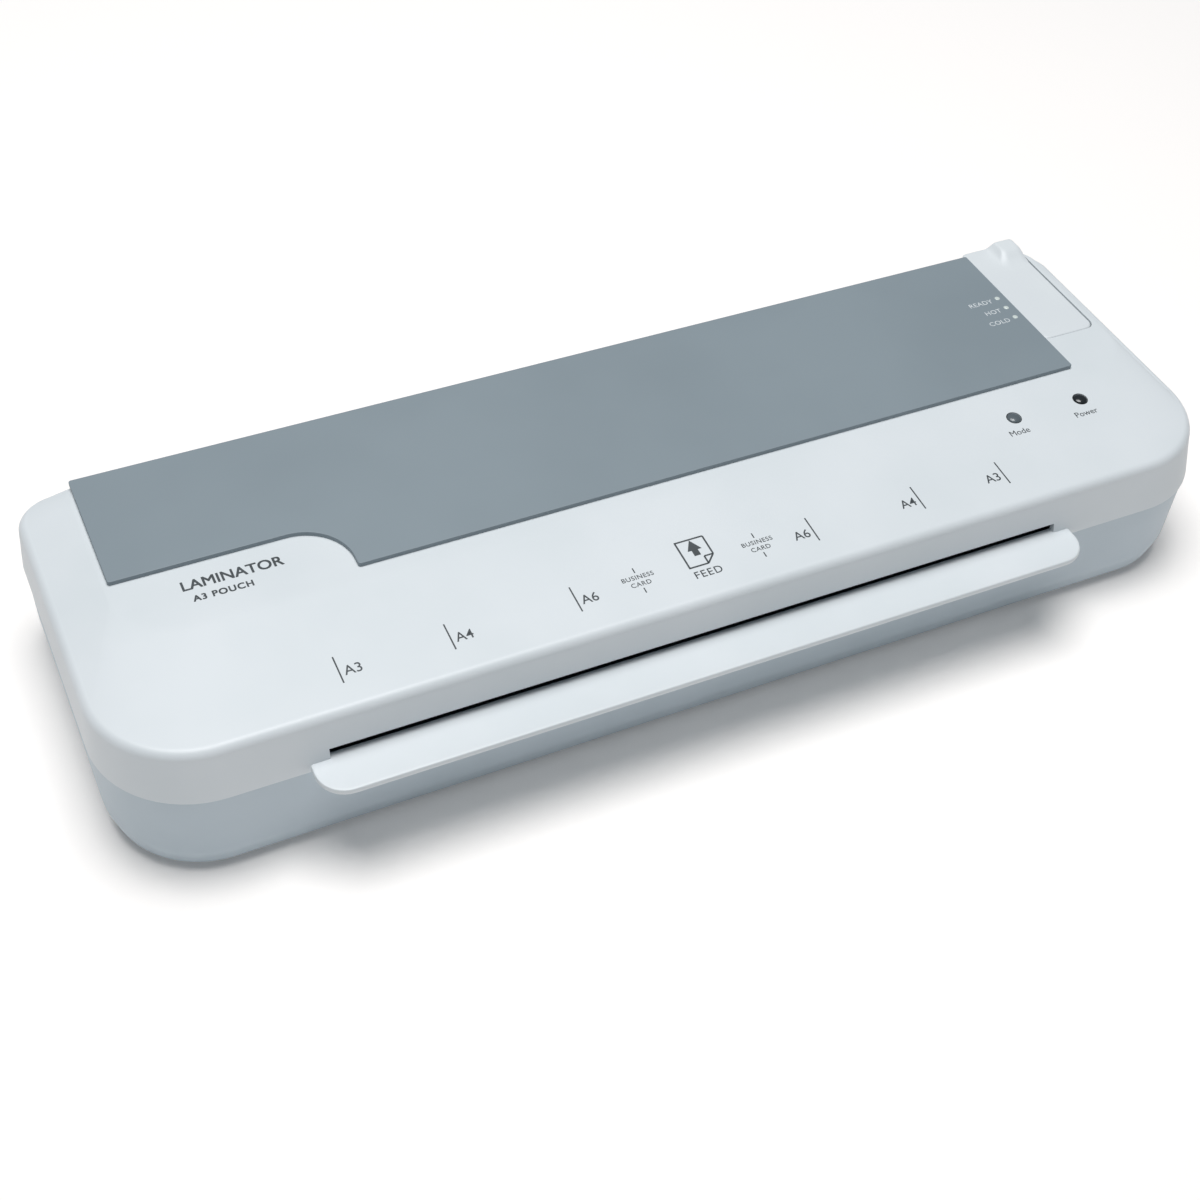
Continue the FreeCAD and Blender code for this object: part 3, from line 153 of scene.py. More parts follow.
materials = {
    # ABS, fine spark-eroded grain: a cool white with a soft sheen
    "white_shell": mouldedSurface("absSatinWhite", plastic),
    "lever_white": mouldedSurface("absSatinWhiteLever", {
        **plastic, "colour": "#dfe4e6", "shade": "#dbe0e3"}),
    # ABS, the same grain: a blue grey, a little duller than the white
    "grey_shell": mouldedSurface("absSatinBlueGrey", {
        **plastic, "colour": "#c1cdd5", "shade": "#bbc8d0", "worn": "#d6dee1", "roughness": 0.45}),
    # ABS sheet, matt and very even: a mid grey that hardly shines
    "panel_grey": mouldedSurface("absMattMidGrey", {
        **plastic, "colour": "#87939a", "shade": "#828e95", "worn": "#9ba5a9", "roughness": 0.50,
        "driftMm": 90, "grainMm": 0.25, "bump": 0.16}),
    # polished ABS: dark caps that take a small highlight
    "key_black": mouldedSurface("absPolishedBlack", {
        **plastic, "colour": "#24282b", "shade": "#1f2326", "worn": "#4a5054", "roughness": 0.22,
        "bump": 0.04, "coat": 0.2}),
    "key_grey": mouldedSurface("absPolishedGrey", {
        **plastic, "colour": "#5d666b", "shade": "#555e63", "worn": "#7d868a", "roughness": 0.25,
        "bump": 0.04, "coat": 0.2}),
    # milky polycarbonate rod ends
    "lens_clear": mouldedSurface("polycarbonateMilky", {
        **plastic, "colour": "#dfe6e2", "shade": "#d3dcd8", "worn": "#f4f7f6", "roughness": 0.16,
        "ior": 1.58, "bump": 0.02, "coat": 0.4}),
    "lamp_body": mouldedSurface("epoxyCream", {**plastic, "colour": "#e8e4d4", "shade": "#ddd8c6"}),
    # glass-fibre board under solder mask
    "board_green": mouldedSurface("boardSolderMask", {
        **plastic, "colour": "#2f6b48", "shade": "#285f3f", "worn": "#6d8f6c", "roughness": 0.3}),
    "component_dark": mouldedSurface("phenolicDark", {
        **plastic, "colour": "#2b2d30", "shade": "#242629", "worn": "#4b4e52", "roughness": 0.4}),
    # zinc plated sheet: cool, with a faint spangle
    "plate_zinc": metalSurface("zincPlatedSheet", {**metal, "bloomMm": 7}),
    # ground bar: fine rings round the shaft
    "shaft_steel": metalSurface("groundSteel", {
        **metal, "colour": "#a9adaf", "shade": "#9a9ea1", "grainAlong": (6, 1, 1), "roughness": 0.26}),
    # ground silicone: soft and matt
    "silicone_hot": mouldedSurface("siliconeBrickRed", {
        **plastic, "colour": "#9c4331", "shade": "#8f3b2b", "worn": "#b4604e", "roughness": 0.62,
        "ior": 1.43, "bump": 0.3, "grainMm": 0.5}),
    "silicone_cold": mouldedSurface("siliconeDarkGrey", {
        **plastic, "colour": "#4c5053", "shade": "#45494c", "worn": "#686c6f", "roughness": 0.62,
        "ior": 1.43, "bump": 0.3, "grainMm": 0.5}),
    "bush_bronze": metalSurface("sinteredBronze", {
        **metal, "colour": "#a3773f", "shade": "#8c6536", "roughness": 0.45, "grainMm": 0.25}),
    "gear_acetal": mouldedSurface("acetalIvory", {
        **plastic, "colour": "#e6e2d6", "shade": "#ded9cb", "worn": "#f1eee5", "ior": 1.48}),
    "pinion_brass": metalSurface("turnedBrass", {
        **metal, "colour": "#b9964f", "shade": "#a98845", "grainAlong": (6, 1, 1), "roughness": 0.3}),
    "motor_steel": metalSurface("drawnSteelCan", {
        **metal, "colour": "#8c9093", "shade": "#7d8184", "roughness": 0.42}),
    "shoe_aluminium": metalSurface("extrudedAluminium", {
        **metal, "colour": "#b9bcbe", "shade": "#adb1b3", "grainAlong": (0.15, 3, 3), "roughness": 0.4}),
    "heater_mica": mouldedSurface("pressedMica", {
        **plastic, "colour": "#8c7a55", "shade": "#79683f", "worn": "#a8976f", "driftMm": 8}),
    "thermostat_body": mouldedSurface("phenolicBlack", {
        **plastic, "colour": "#1f1f21", "shade": "#19191b", "worn": "#3d3d40", "roughness": 0.35}),
    "fuse_body": metalSurface("tinnedCan", {**metal, "colour": "#c4c6c6", "shade": "#b2b4b4"}),
    # glass-filled nylon: almost black with a dry sheen
    "guide_black": mouldedSurface("nylonGlassFilled", {
        **plastic, "colour": "#2c2e30", "shade": "#25272a", "worn": "#4c5053", "roughness": 0.5,
        "bump": 0.25, "grainMm": 0.6}),
    "die_steel": metalSurface("machinedSteel", {
        **metal, "colour": "#8f9497", "shade": "#82878a", "grainAlong": (1, 4, 1), "roughness": 0.33}),
    "spring_steel": metalSurface("drawnWire", {**metal, "colour": "#8d9194", "shade": "#7e8285"}),
    "screw_steel": metalSurface("zincPlatedScrew", {**metal, "colour": "#a7a9a8", "shade": "#96999a"}),
    # moulded rubber: dull, with a little dust in its grain
    "foot_rubber": mouldedSurface("rubberMouldedBlack", {
        **plastic, "colour": "#2a2b2c", "shade": "#323335", "worn": "#47494b", "roughness": 0.75,
        "bump": 0.35, "grainMm": 0.8}),
    "gland_black": mouldedSurface("nylonBlack", {
        **plastic, "colour": "#252627", "shade": "#202122", "worn": "#454748", "roughness": 0.45}),
}
# pad printing ink: thin and flat, a shade duller than the plastic under it
inkDark = mouldedSurface("padInkCharcoal", {
    **plastic, "colour": "#3b4144", "shade": "#43494d", "worn": "#5c6367", "roughness": 0.55,
    "edgeWear": 0.0, "driftMm": 6})
inkLight = mouldedSurface("padInkLightGrey", {
    **plastic, "colour": "#dfe4e6", "shade": "#d2d8db", "worn": "#e8ecee", "roughness": 0.55,
    "edgeWear": 0.0, "driftMm": 6})
print("materials made:", len(materials) + 2)


# making and finishing pieces

def pieceFrom(bm, name):
    bmesh.ops.remove_doubles(bm, verts=bm.verts, dist=0.0005)
    bmesh.ops.recalc_face_normals(bm, faces=bm.faces)
    bmesh.ops.scale(bm, vec=(mm, mm, mm), verts=bm.verts)
    mesh = bpy.data.meshes.new(name)
    bm.to_mesh(mesh)
    bm.free()
    piece = bpy.data.objects.new(name, mesh)
    bpy.context.scene.collection.objects.link(piece)
    return piece


def carve(piece, tools, operation):
    # each tool is cut from the piece, or joined to it, and then taken away
    for bm in tools:
        tool = pieceFrom(bm, "tool")
        modifier = piece.modifiers.new("carve", "BOOLEAN")
        modifier.operation = operation
        modifier.solver = "EXACT"
        modifier.object = tool
        ready = piece.evaluated_get(bpy.context.evaluated_depsgraph_get())
        carved = bpy.data.meshes.new_from_object(ready)
        piece.modifiers.clear()
        piece.data = carved
        bpy.data.objects.remove(tool)


def soften(piece, widthMm, segments=2, angle=38):
    # a small radius on every crisp edge, then normals that keep the flats flat
    if widthMm:
        bevel = piece.modifiers.new("edgeRadius", "BEVEL")
        bevel.width = widthMm * mm
        bevel.segments = segments
        bevel.limit_method = "ANGLE"
        bevel.angle_limit = math.radians(angle)
        bevel.use_clamp_overlap = True
        bevel.harden_normals = False
    weighted = piece.modifiers.new("flatFaces", "WEIGHTED_NORMAL")
    weighted.keep_sharp = True
    weighted.weight = 90


def finishPiece(piece, body, slotName, replaced, sharpAngle=32):
    # the record's slot gives the finish; the piece rides on its body in place of one solid node
    piece.data.materials.clear()
    piece.data.materials.append(materials[slotName])
    piece.data.shade_smooth()
    piece.data.set_sharp_from_angle(angle=math.radians(sharpAngle))
    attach(piece, body)
    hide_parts(replaced)


def boxTool(x0, x1, y0, y1, z0, z1):
    bm = bmesh.new()
    middle = Vector(((x0 + x1) / 2, (y0 + y1) / 2, (z0 + z1) / 2))
    size = Matrix.Diagonal((x1 - x0, y1 - y0, z1 - z0, 1))
    bmesh.ops.create_cube(bm, size=1, matrix=Matrix.Translation(middle) @ size)
    return bm


def rodTool(radius, x, y, z0, z1, segments=40):
    bm = bmesh.new()
    bmesh.ops.create_cone(bm, cap_ends=True, segments=segments, radius1=radius, radius2=radius,
                          depth=z1 - z0, matrix=Matrix.Translation((x, y, (z0 + z1) / 2)))
    return bm


def together(tools):
    # several shapes as one mesh
    bm = bmesh.new()
    for tool in tools:
        mesh = bpy.data.meshes.new("part")
        tool.to_mesh(mesh)
        tool.free()
        bm.from_mesh(mesh)
        bpy.data.meshes.remove(mesh)
    return bm


def turnedShape(profile, place, steps=48):
    # a profile of (radius, height) points spun about its own upright axis
    bm = bmesh.new()
    verts = [bm.verts.new((radius, 0, height)) for radius, height in profile]
    edges = [bm.edges.new(pair) for pair in zip(verts, verts[1:])]
    bmesh.ops.spin(bm, geom=verts + edges, cent=(0, 0, 0), axis=(0, 0, 1), angle=2 * math.pi,
                   steps=steps, use_merge=True)
    bmesh.ops.remove_doubles(bm, verts=bm.verts, dist=0.001)
    bmesh.ops.transform(bm, matrix=place, verts=bm.verts)
    return bm


def ringSection(left, right, front, back, frontRadius, backRadius, height):
    return {"left": left, "right": right, "front": front, "back": back,
            "frontRadius": frontRadius, "backRadius": backRadius, "height": height}


def between(first, second, share):
    return {key: first[key] + (second[key] - first[key]) * share for key in first}


def placeRing(bm, verts, section):
    # the ring's own layers say which corner a vertex belongs to and how far round it lies
    corner, share = bm.verts.layers.int["corner"], bm.verts.layers.float["share"]
    for v in verts:
        radius = section["backRadius"] if v[corner] < 2 else section["frontRadius"]
        x = section["right"] - radius if v[corner] in (0, 3) else section["left"] + radius
        y = section["back"] - radius if v[corner] < 2 else section["front"] + radius
        turn = (v[corner] + v[share]) * math.pi / 2
        v.co = (x + radius * math.cos(turn), y + radius * math.sin(turn), section["height"])


def loftRings(sections, steps=16):
    # a rounded outline carried up from section to section, closed at both ends
    bm = bmesh.new()
    count = 4 * steps
    bmesh.ops.create_circle(bm, cap_ends=True, radius=1, segments=count,
                            matrix=Matrix.Rotation(math.pi / count, 4, "Z"))
    corner, share = bm.verts.layers.int.new("corner"), bm.verts.layers.float.new("share")
    for v in list(bm.verts):
        quarter, rest = divmod(math.atan2(v.co.y, v.co.x) % (2 * math.pi), math.pi / 2)
        v[corner] = int(quarter)
        v[share] = (rest / (math.pi / 2) * steps - 0.5) / (steps - 1)
    placeRing(bm, list(bm.verts), sections[0])
    bm.faces.ensure_lookup_table()
    top = bm.faces[0]
    for k, section in enumerate(sections[1:]):
        raised = bmesh.ops.extrude_face_region(bm, geom=[top])["geom"]
        if k:
            bmesh.ops.delete(bm, geom=[top], context="FACES_ONLY")  # only the first stays, as the bottom
        top = [g for g in raised if isinstance(g, bmesh.types.BMFace)][0]
        placeRing(bm, top.verts, section)
    return bm


# the casing's form, taken from its solid nodes

upperLow, upperHigh = (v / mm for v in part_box("upper_shell"))
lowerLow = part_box("lower_shell")[0] / mm
casing = {
    "half": upperHigh.x, "front": lowerLow.y - 0.6, "back": upperHigh.y, "foot": lowerLow.z,
    "seam": 44.0, "seamGap": 0.4, "wall": 2.5, "plateau": upperHigh.z,
    "frontRadius": 42.0, "backRadius": 14.0, "frontDraft": 4.5, "sideDraft": 1.5, "backDraft": 0.6,
    "rimTop": 66.0, "rimRadius": 4.0, "rimSteps": 12,
    "plateauLeft": 24.0, "plateauRight": 9.5, "plateauFront": 63.5, "plateauRadius": 25.0,
    "creaseMm": 3.0, "chamferHeight": 9.5, "chamferInset": 4.2, "lowerDraft": 1.4,
}


def casingSection(inset, front, side, back, height):
    c = casing
    return ringSection(
        -c["half"] + side + inset, c["half"] - side - inset, c["front"] + front + inset,
        c["back"] - back - inset, c["frontRadius"] - min(front, side) - inset,
        c["backRadius"] - back - inset, height)


def plateauSection(inset, outward, height):
    c = casing
    return ringSection(
        -c["half"] + c["plateauLeft"] + inset - outward, c["half"] - c["plateauRight"] - inset + outward,
        c["front"] + c["plateauFront"] + inset - outward,
        c["back"] - c["backDraft"] - inset, c["plateauRadius"] + outward,
        c["backRadius"] - c["backDraft"] - inset, height)


def upperSections(inset):
    c = casing
    sections = [casingSection(inset, 0, 0, 0, c["seam"] - (1 if inset else 0))]
    for k in range(c["rimSteps"] + 1):
        turn = math.pi / 2 * k / c["rimSteps"]
        draw = c["rimRadius"] * (1 - math.cos(turn))
        height = c["rimTop"] - c["rimRadius"] * (1 - math.sin(turn)) - inset
        sections.append(casingSection(inset, c["frontDraft"] + draw, c["sideDraft"] + draw,
                                      c["backDraft"], height))
    edge = plateauSection(inset, 0, c["plateau"] - inset)
    if inset:
        return sections + [edge]
    # the crease round the plateau is drawn as a short soft curve
    before = between(sections[-1], edge, 0.95)
    after = plateauSection(0, -c["creaseMm"], c["plateau"])
    for share in (0.0, 0.25, 0.5, 0.75, 1.0):
        sections.append(between(between(before, edge, share), between(edge, after, share), share))
    return sections


def nodeBox(name):
    low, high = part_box(name)
    return low / mm, high / mm


leverLow, leverHigh = nodeBox("corner_lever")
panelLow, panelHigh = nodeBox("top_panel")
powerLow, powerHigh = nodeBox("power_key")
modeLow, modeHigh = nodeBox("mode_key")
lensLow, lensHigh = nodeBox("indicator_lenses")
sleeveLow, sleeveHigh = nodeBox("lower_hot_roller_sleeve")
feedX = (sleeveLow.x + sleeveHigh.x) / 2


# upper shell: hollow, with its ledge, slots and holes

upperShape = {
    "slotHalf": 161.5, "slotLow": 47.0, "slotHigh": 51.4, "slotReach": 6.0, "exitHigh": 49.0,
    "exitDepth": 5.0, "ledgeHalf": 169.5, "ledgeRadius": 12.0, "ledgeBackRadius": 0.4,
    # the ledge's edge rings: how far in, and how far above the seam or under the slot's floor
    "ledgeFoot": ((0.9, 0.0), (0.25, 0.3), (0.0, 0.9)), "ledgeRim": ((0.0, 1.1), (0.3, 0.4), (1.1, 0.0)),
    "leverGap": 0.35, "leverCorner": 4.5, "leverBackCorner": 0.5, "leverBelow": 60.0,
    "cornerInset": 6.0, "cornerDepth": 35.0, "cornerLow": 49.8, "cornerHigh": 54.2,
    "keyHole": 3.5, "keyHoleLow": 60.0, "keyHoleHigh": 75.0, "edgeRadius": 0.35,
}
past = 5.0  # how far a cutter runs past the wall it opens


def upperShell():
    c, u = casing, upperShape
    piece = pieceFrom(loftRings(upperSections(0)), "upperShellSkin")
    carve(piece, [loftRings(upperSections(c["wall"]))], "DIFFERENCE")
    ledgeEdges = [(d, c["seam"] + rise) for d, rise in u["ledgeFoot"]]
    ledgeEdges += [(d, u["slotLow"] - drop) for d, drop in u["ledgeRim"]]
    ledge = [ringSection(feedX - u["ledgeHalf"] + d, feedX + u["ledgeHalf"] - d, upperLow.y + d,
                         c["front"] + c["wall"] - 0.1, u["ledgeRadius"] - d, u["ledgeBackRadius"], z)
             for d, z in ledgeEdges]
    carve(piece, [loftRings(ledge, 10)], "UNION")
    slot = boxTool(feedX - u["slotHalf"], feedX + u["slotHalf"], c["front"] - 1,
                   c["front"] + c["wall"] + u["slotReach"], u["slotLow"], u["slotHigh"])
    exitSlot = boxTool(feedX - u["slotHalf"], feedX + u["slotHalf"], c["back"] - u["exitDepth"],
                       c["back"] + 1, c["seam"] - 2, u["exitHigh"])
    gap = u["leverGap"]
    well = ringSection(leverLow.x - gap, leverHigh.x + gap, leverLow.y - gap, c["back"] + past,
                       u["leverCorner"], u["leverBackCorner"], u["leverBelow"])
    lever = loftRings([well, {**well, "height": c["plateau"] + past}], 8)
    corner = boxTool(leverLow.x + u["cornerInset"], c["half"] + past, c["back"] - u["cornerDepth"],
                     c["back"] + past, u["cornerLow"], u["cornerHigh"])
    holes = [rodTool(u["keyHole"], (low.x + high.x) / 2, (low.y + high.y) / 2, u["keyHoleLow"],
                     u["keyHoleHigh"])
             for low, high in ((powerLow, powerHigh), (modeLow, modeHigh))]
    carve(piece, [slot, exitSlot, lever, corner, together(holes)], "DIFFERENCE")
    finishPiece(piece, "casing", "white_shell", "upper_shell")
    soften(piece, u["edgeRadius"])


upperShell()
print("upper shell made")


# lower shell: a chamfered tray with vents and screw wells

lowerShape = {"ventWidth": 3.0, "ventLength": 20.0, "ventPitch": 20.0, "ventCount": 14,
              "ventRows": (43.0, 66.0),
              "wellRadius": 3.6, "wellDepth": 5.0, "bossRadius": 4.5, "bossTop": 20.5,
              "edgeRadius": 0.35}


def lowerSections(inset):
    c = casing
    top = c["seam"] - c["seamGap"]
    low = c["foot"] + inset
    bend = c["foot"] + c["chamferHeight"]
    foot = casingSection(inset, c["chamferInset"], c["chamferInset"], c["chamferInset"], low)
    middle = casingSection(inset, c["lowerDraft"], c["lowerDraft"], c["lowerDraft"], bend)
    rim = casingSection(inset, 0.6, 0.6, 0.6, top + (1 if inset else 0))
    if inset:
        return [foot, middle, rim]
    # the chamfer's upper edge is a soft turn
    below, above = between(foot, middle, 0.85), between(middle, rim, 0.06)
    turn = [between(between(below, middle, s), between(middle, above, s), s)
            for s in (0.0, 0.2, 0.4, 0.6, 0.8, 1.0)]
    return [foot] + turn + [rim]


def lowerShell():
    c, s = casing, lowerShape
    piece = pieceFrom(loftRings(lowerSections(0)), "lowerShellSkin")
    carve(piece, [loftRings(lowerSections(c["wall"]))], "DIFFERENCE")
    wells = screwPlaces()
    bosses = [rodTool(s["bossRadius"], x, y, c["foot"] + 1, s["bossTop"]) for x, y in wells]
    carve(piece, [together(bosses)], "UNION")
    counterbores = [rodTool(s["wellRadius"], x, y, c["foot"] - 1, c["foot"] + s["wellDepth"])
                    for x, y in wells]
    carve(piece, [together(counterbores)], "DIFFERENCE")
    vents = []
    for row in [c["front"] + offset for offset in s["ventRows"]]:
        for k in range(s["ventCount"]):
            x = feedX + (k - (s["ventCount"] - 1) / 2) * s["ventPitch"]
            vents.append(boxTool(x - s["ventWidth"] / 2, x + s["ventWidth"] / 2, row,
                                 row + s["ventLength"], c["foot"] - 1, c["foot"] + c["wall"] + 2))
    carve(piece, [together(vents)], "DIFFERENCE")
    finishPiece(piece, "casing", "grey_shell", "lower_shell")
    soften(piece, s["edgeRadius"])


def screwPlaces(near=10):
    # the four screws' centres, read from their own solids
    corners = [v.co / mm for v in nodes["case_screws"].data.vertices]
    places = []
    for corner in corners:
        if any(abs(corner.x - x) < near and abs(corner.y - y) < near for x, y in places):
            continue
        own = [w for w in corners if abs(w.x - corner.x) < near and abs(w.y - corner.y) < near]
        xs, ys = [w.x for w in own], [w.y for w in own]
        places.append(((min(xs) + max(xs)) / 2, (min(ys) + max(ys)) / 2))
    return places


lowerShell()
print("lower shell made")


# the raised panel, with its notch

panelShape = {"notchLength": 92.0, "notchDepth": 26.0, "notchRadius": 21.0, "cornerRadius": 1.0,
              "thickness": 2.0, "rimRadius": 0.3}


def topPanel():
    p = panelShape
    left, right, front, back = panelLow.x, panelHigh.x, panelLow.y, panelHigh.y
    top = panelHigh.z
    bm = bmesh.new()
    outline = [(left, front + p["notchDepth"]), (left + p["notchLength"], front + p["notchDepth"]),
               (left + p["notchLength"], front), (right, front), (right, back), (left, back)]
    verts = [bm.verts.new((x, y, top - p["thickness"])) for x, y in outline]
    bm.faces.new(verts)
    bmesh.ops.bevel(bm, geom=[verts[1]], offset=p["notchRadius"], segments=20, profile=0.5,
                    affect="VERTICES", material=-1)
    corners = [verts[0]] + verts[2:]
    bmesh.ops.bevel(bm, geom=[v for v in corners if v.is_valid], offset=p["cornerRadius"], segments=4,
                    profile=0.5, affect="VERTICES", material=-1)
    raised = bmesh.ops.extrude_face_region(bm, geom=list(bm.faces))["geom"]
    bmesh.ops.translate(bm, vec=(0, 0, p["thickness"]),
                        verts=[g for g in raised if isinstance(g, bmesh.types.BMVert)])
    bmesh.ops.recalc_face_normals(bm, faces=bm.faces)
    rim = [e for e in bm.edges if all(v.co.z > top - 0.01 for v in e.verts)]
    bmesh.ops.bevel(bm, geom=rim, offset=p["rimRadius"], segments=4, profile=0.5, affect="EDGES",
                    material=-1, clamp_overlap=True)
    piece = pieceFrom(bm, "topPanelSkin")
    finishPiece(piece, "casing", "panel_grey", "top_panel")
    soften(piece, 0)


topPanel()
print("top panel made")


# the press lever: a plate with skirts, an apron, a rib over the punch and a thumb pad that ramps up

leverShape = {
    "thickness": 3.0, "soft": 1.0, "softSteps": 5, "frontRadius": 4.2, "rearRadius": 2.4,
    "thumbWidth": 11.0, "thumbLength": 10.0, "thumbHeight": 3.5, "ramp": 9.0, "sideRamp": 0.45,
    # the pad's rings: share of its height, share of its ramp, inset at the right and the rear
    "padRings": ((-0.3, 1.1, 0.05), (0.0, 1.0, 0.05), (0.06, 0.82, 0.05), (0.14, 0.66, 0.05),
                 (0.26, 0.5, 0.05), (0.42, 0.34, 0.1), (0.6, 0.19, 0.3), (0.76, 0.06, 0.6),
                 (0.88, -0.06, 1.0), (0.96, -0.18, 1.5), (1.0, -0.32, 2.3)),
    "padFrontRadius": 4.0, "padFrontLoss": 1.8, "padRearRadius": 2.4, "padRearLoss": 0.9,
    "skirt": 7.0, "skirtWall": 1.8, "skirtFront": 3.0, "skirtBack": 4.0, "overlap": 0.5,
    "apronDepth": 9.0, "apronThick": 2.5, "apronInset": 0.3,
    "ribX": 16.0, "ribY": 21.0, "ribLow": 5.2, "ribHalfLength": 5.0, "ribHalfWidth": 1.4,
    "pinY": 7.0, "pinDrop": 7.0, "bore": 1.6, "boreSegments": 40, "edgeRadius": 0.25,
}


def pressLever():
    s = leverShape
    left, right, front, back = leverLow.x, leverHigh.x, leverLow.y, leverHigh.y
    top = leverHigh.z - s["thumbHeight"]
    under = top - s["thickness"]
    join = under + s["overlap"]
    turn = [(s["soft"] * (1 - math.cos(t)), s["soft"] * (1 - math.sin(t)))
            for t in [math.pi / 2 * i / s["softSteps"] for i in range(s["softSteps"] + 1)]]
    plate = [ringSection(left, right, front, back, s["frontRadius"], s["rearRadius"], under)]
    plate += [ringSection(left + d, right - d, front + d, back - d, s["frontRadius"] - d * 0.5,
                          s["rearRadius"] - d * 0.5, top - drop) for d, drop in turn]
    piece = pieceFrom(loftRings(plate, 8), "pressLeverSkin")
    # rings from the plate's face up to the pad: its front and left run out in a ramp
    thumbLeft, thumbFront = right - s["thumbWidth"], back - s["thumbLength"]
    pad = [ringSection(thumbLeft - ramp * s["ramp"] * s["sideRamp"], right - inset,
                       thumbFront - ramp * s["ramp"], back - inset,
                       s["padFrontRadius"] - s["padFrontLoss"] * share,
                       s["padRearRadius"] - s["padRearLoss"] * share, top + share * s["thumbHeight"])
           for share, ramp, inset in s["padRings"]]
    carve(piece, [loftRings(pad, 8)], "UNION")
    inner = casing["back"] - casing["wall"] - s["skirtBack"]
    sides = [boxTool(x, x + s["skirtWall"], front + s["skirtFront"], inner, under - s["skirt"], join)
             for x in (left, right - s["skirtWall"])]
    apronBack = back - s["apronInset"]
    apron = boxTool(left, right, apronBack - s["apronThick"], apronBack, top - s["apronDepth"], join)
    ribX, ribY = left + s["ribX"], back - s["ribY"]
    rib = boxTool(ribX - s["ribHalfLength"], ribX + s["ribHalfLength"], ribY - s["ribHalfWidth"],
                  ribY + s["ribHalfWidth"], top - s["ribLow"], join)
    carve(piece, [together(sides + [apron, rib])], "UNION")
    pin = Matrix.Translation(((left + right) / 2, front + s["pinY"], top - s["pinDrop"]))
    bore = bmesh.new()
    bmesh.ops.create_cone(bore, cap_ends=True, segments=s["boreSegments"], radius1=s["bore"],
                          radius2=s["bore"], depth=right - left + 4,
                          matrix=pin @ Matrix.Rotation(math.pi / 2, 4, "Y"))
    carve(piece, [bore], "DIFFERENCE")
    finishPiece(piece, "press_lever", "lever_white", "corner_lever")
    soften(piece, s["edgeRadius"])


pressLever()
print("press lever made")


# keys, lenses, feet and gland, all turned about their own axes

keyShape = {"headRadius": 3.2, "domeHeight": 1.3, "domeSteps": 8, "flangeRadius": 4.5,
            "flangeHeight": 1.0, "flangeSoft": 0.2, "stemRadius": 1.5, "seatShare": 0.42}


def keyCap(node, name, body, slotName):
    k = keyShape
    low, high = nodeBox(node)
    x, y, top = (low.x + high.x) / 2, (low.y + high.y) / 2, high.z
    seat = low.z + (high.z - low.z) * k["seatShare"]
    shoulder, soft = seat + k["flangeHeight"], k["flangeSoft"]
    profile = [(k["headRadius"] * math.sin(t), top - k["domeHeight"] * (1 - math.cos(t)))
               for t in [math.pi / 2 * i / k["domeSteps"] for i in range(k["domeSteps"] + 1)]]
    profile += [(k["headRadius"], shoulder), (k["flangeRadius"] - soft, shoulder),
                (k["flangeRadius"], shoulder - soft), (k["flangeRadius"], seat),
                (k["stemRadius"], seat), (k["stemRadius"], low.z), (0, low.z)]
    piece = pieceFrom(turnedShape(profile, Matrix.Translation((x, y, 0))), name)
    finishPiece(piece, body, slotName, node)


keyCap("power_key", "powerKeyCap", "power_button", "key_black")
keyCap("mode_key", "modeKeyCap", "mode_button", "key_grey")

lensShape = {"radius": 1.25, "pitch": 7.5, "count": 3, "proud": 0.25, "firstOffset": 1.3,
             "domeSteps": 6, "segments": 32}


def lensCaps():
    s = lensShape
    x = (lensLow.x + lensHigh.x) / 2
    firstY = lensLow.y + s["firstOffset"]
    top = lensHigh.z
    profile = [(s["radius"] * math.sin(t), top - s["proud"] * (1 - math.cos(t)))
               for t in [math.pi / 2 * i / s["domeSteps"] for i in range(s["domeSteps"] + 1)]]
    profile += [(s["radius"], lensLow.z), (0, lensLow.z)]
    shapes = [turnedShape(profile, Matrix.Translation((x, firstY + k * s["pitch"], 0)), s["segments"])
              for k in range(s["count"])]
    piece = pieceFrom(together(shapes), "lensCaps")
    finishPiece(piece, "casing", "lens_clear", "indicator_lenses")


lensCaps()

footShape = {"radius": 8.0, "height": 3.0, "grooveRadius": 5.0, "grooveDepth": 0.5, "grooveWall": 0.4,
             # the edge's soft turn, as (how far in, how high)
             "edge": ((0.9, 0.0), (0.3, 0.25), (0.0, 0.8)), "topSoft": 0.3, "topGap": 0.02,
             "stem": 2.5, "segments": 40}


def footPads():
    f = footShape
    low, high = nodeBox("rubber_feet")
    xs, ys = (low.x + f["radius"], high.x - f["radius"]), (low.y + f["radius"], high.y - f["radius"])
    r, top = f["radius"], f["height"] - f["topGap"]
    profile = [(0, f["grooveDepth"]), (f["grooveRadius"] - f["grooveWall"], f["grooveDepth"]),
               (f["grooveRadius"], 0.0)]
    profile += [(r - d, z) for d, z in f["edge"]]
    profile += [(r, f["height"] - f["topSoft"]), (r - f["topSoft"], top), (f["stem"], top),
                (f["stem"], high.z), (0, high.z)]
    shapes = [turnedShape(profile, Matrix.Translation((x, y, 0)), f["segments"]) for x in xs for y in ys]
    piece = pieceFrom(together(shapes), "footPads")
    finishPiece(piece, "casing", "foot_rubber", "rubber_feet")


footPads()

glandShape = {"bore": 3.5, "mouth": 0.6, "body": 5.5, "flange": 7.5, "flangeThick": 2.5,
              "rim": 0.9, "rimTurn": 0.25}


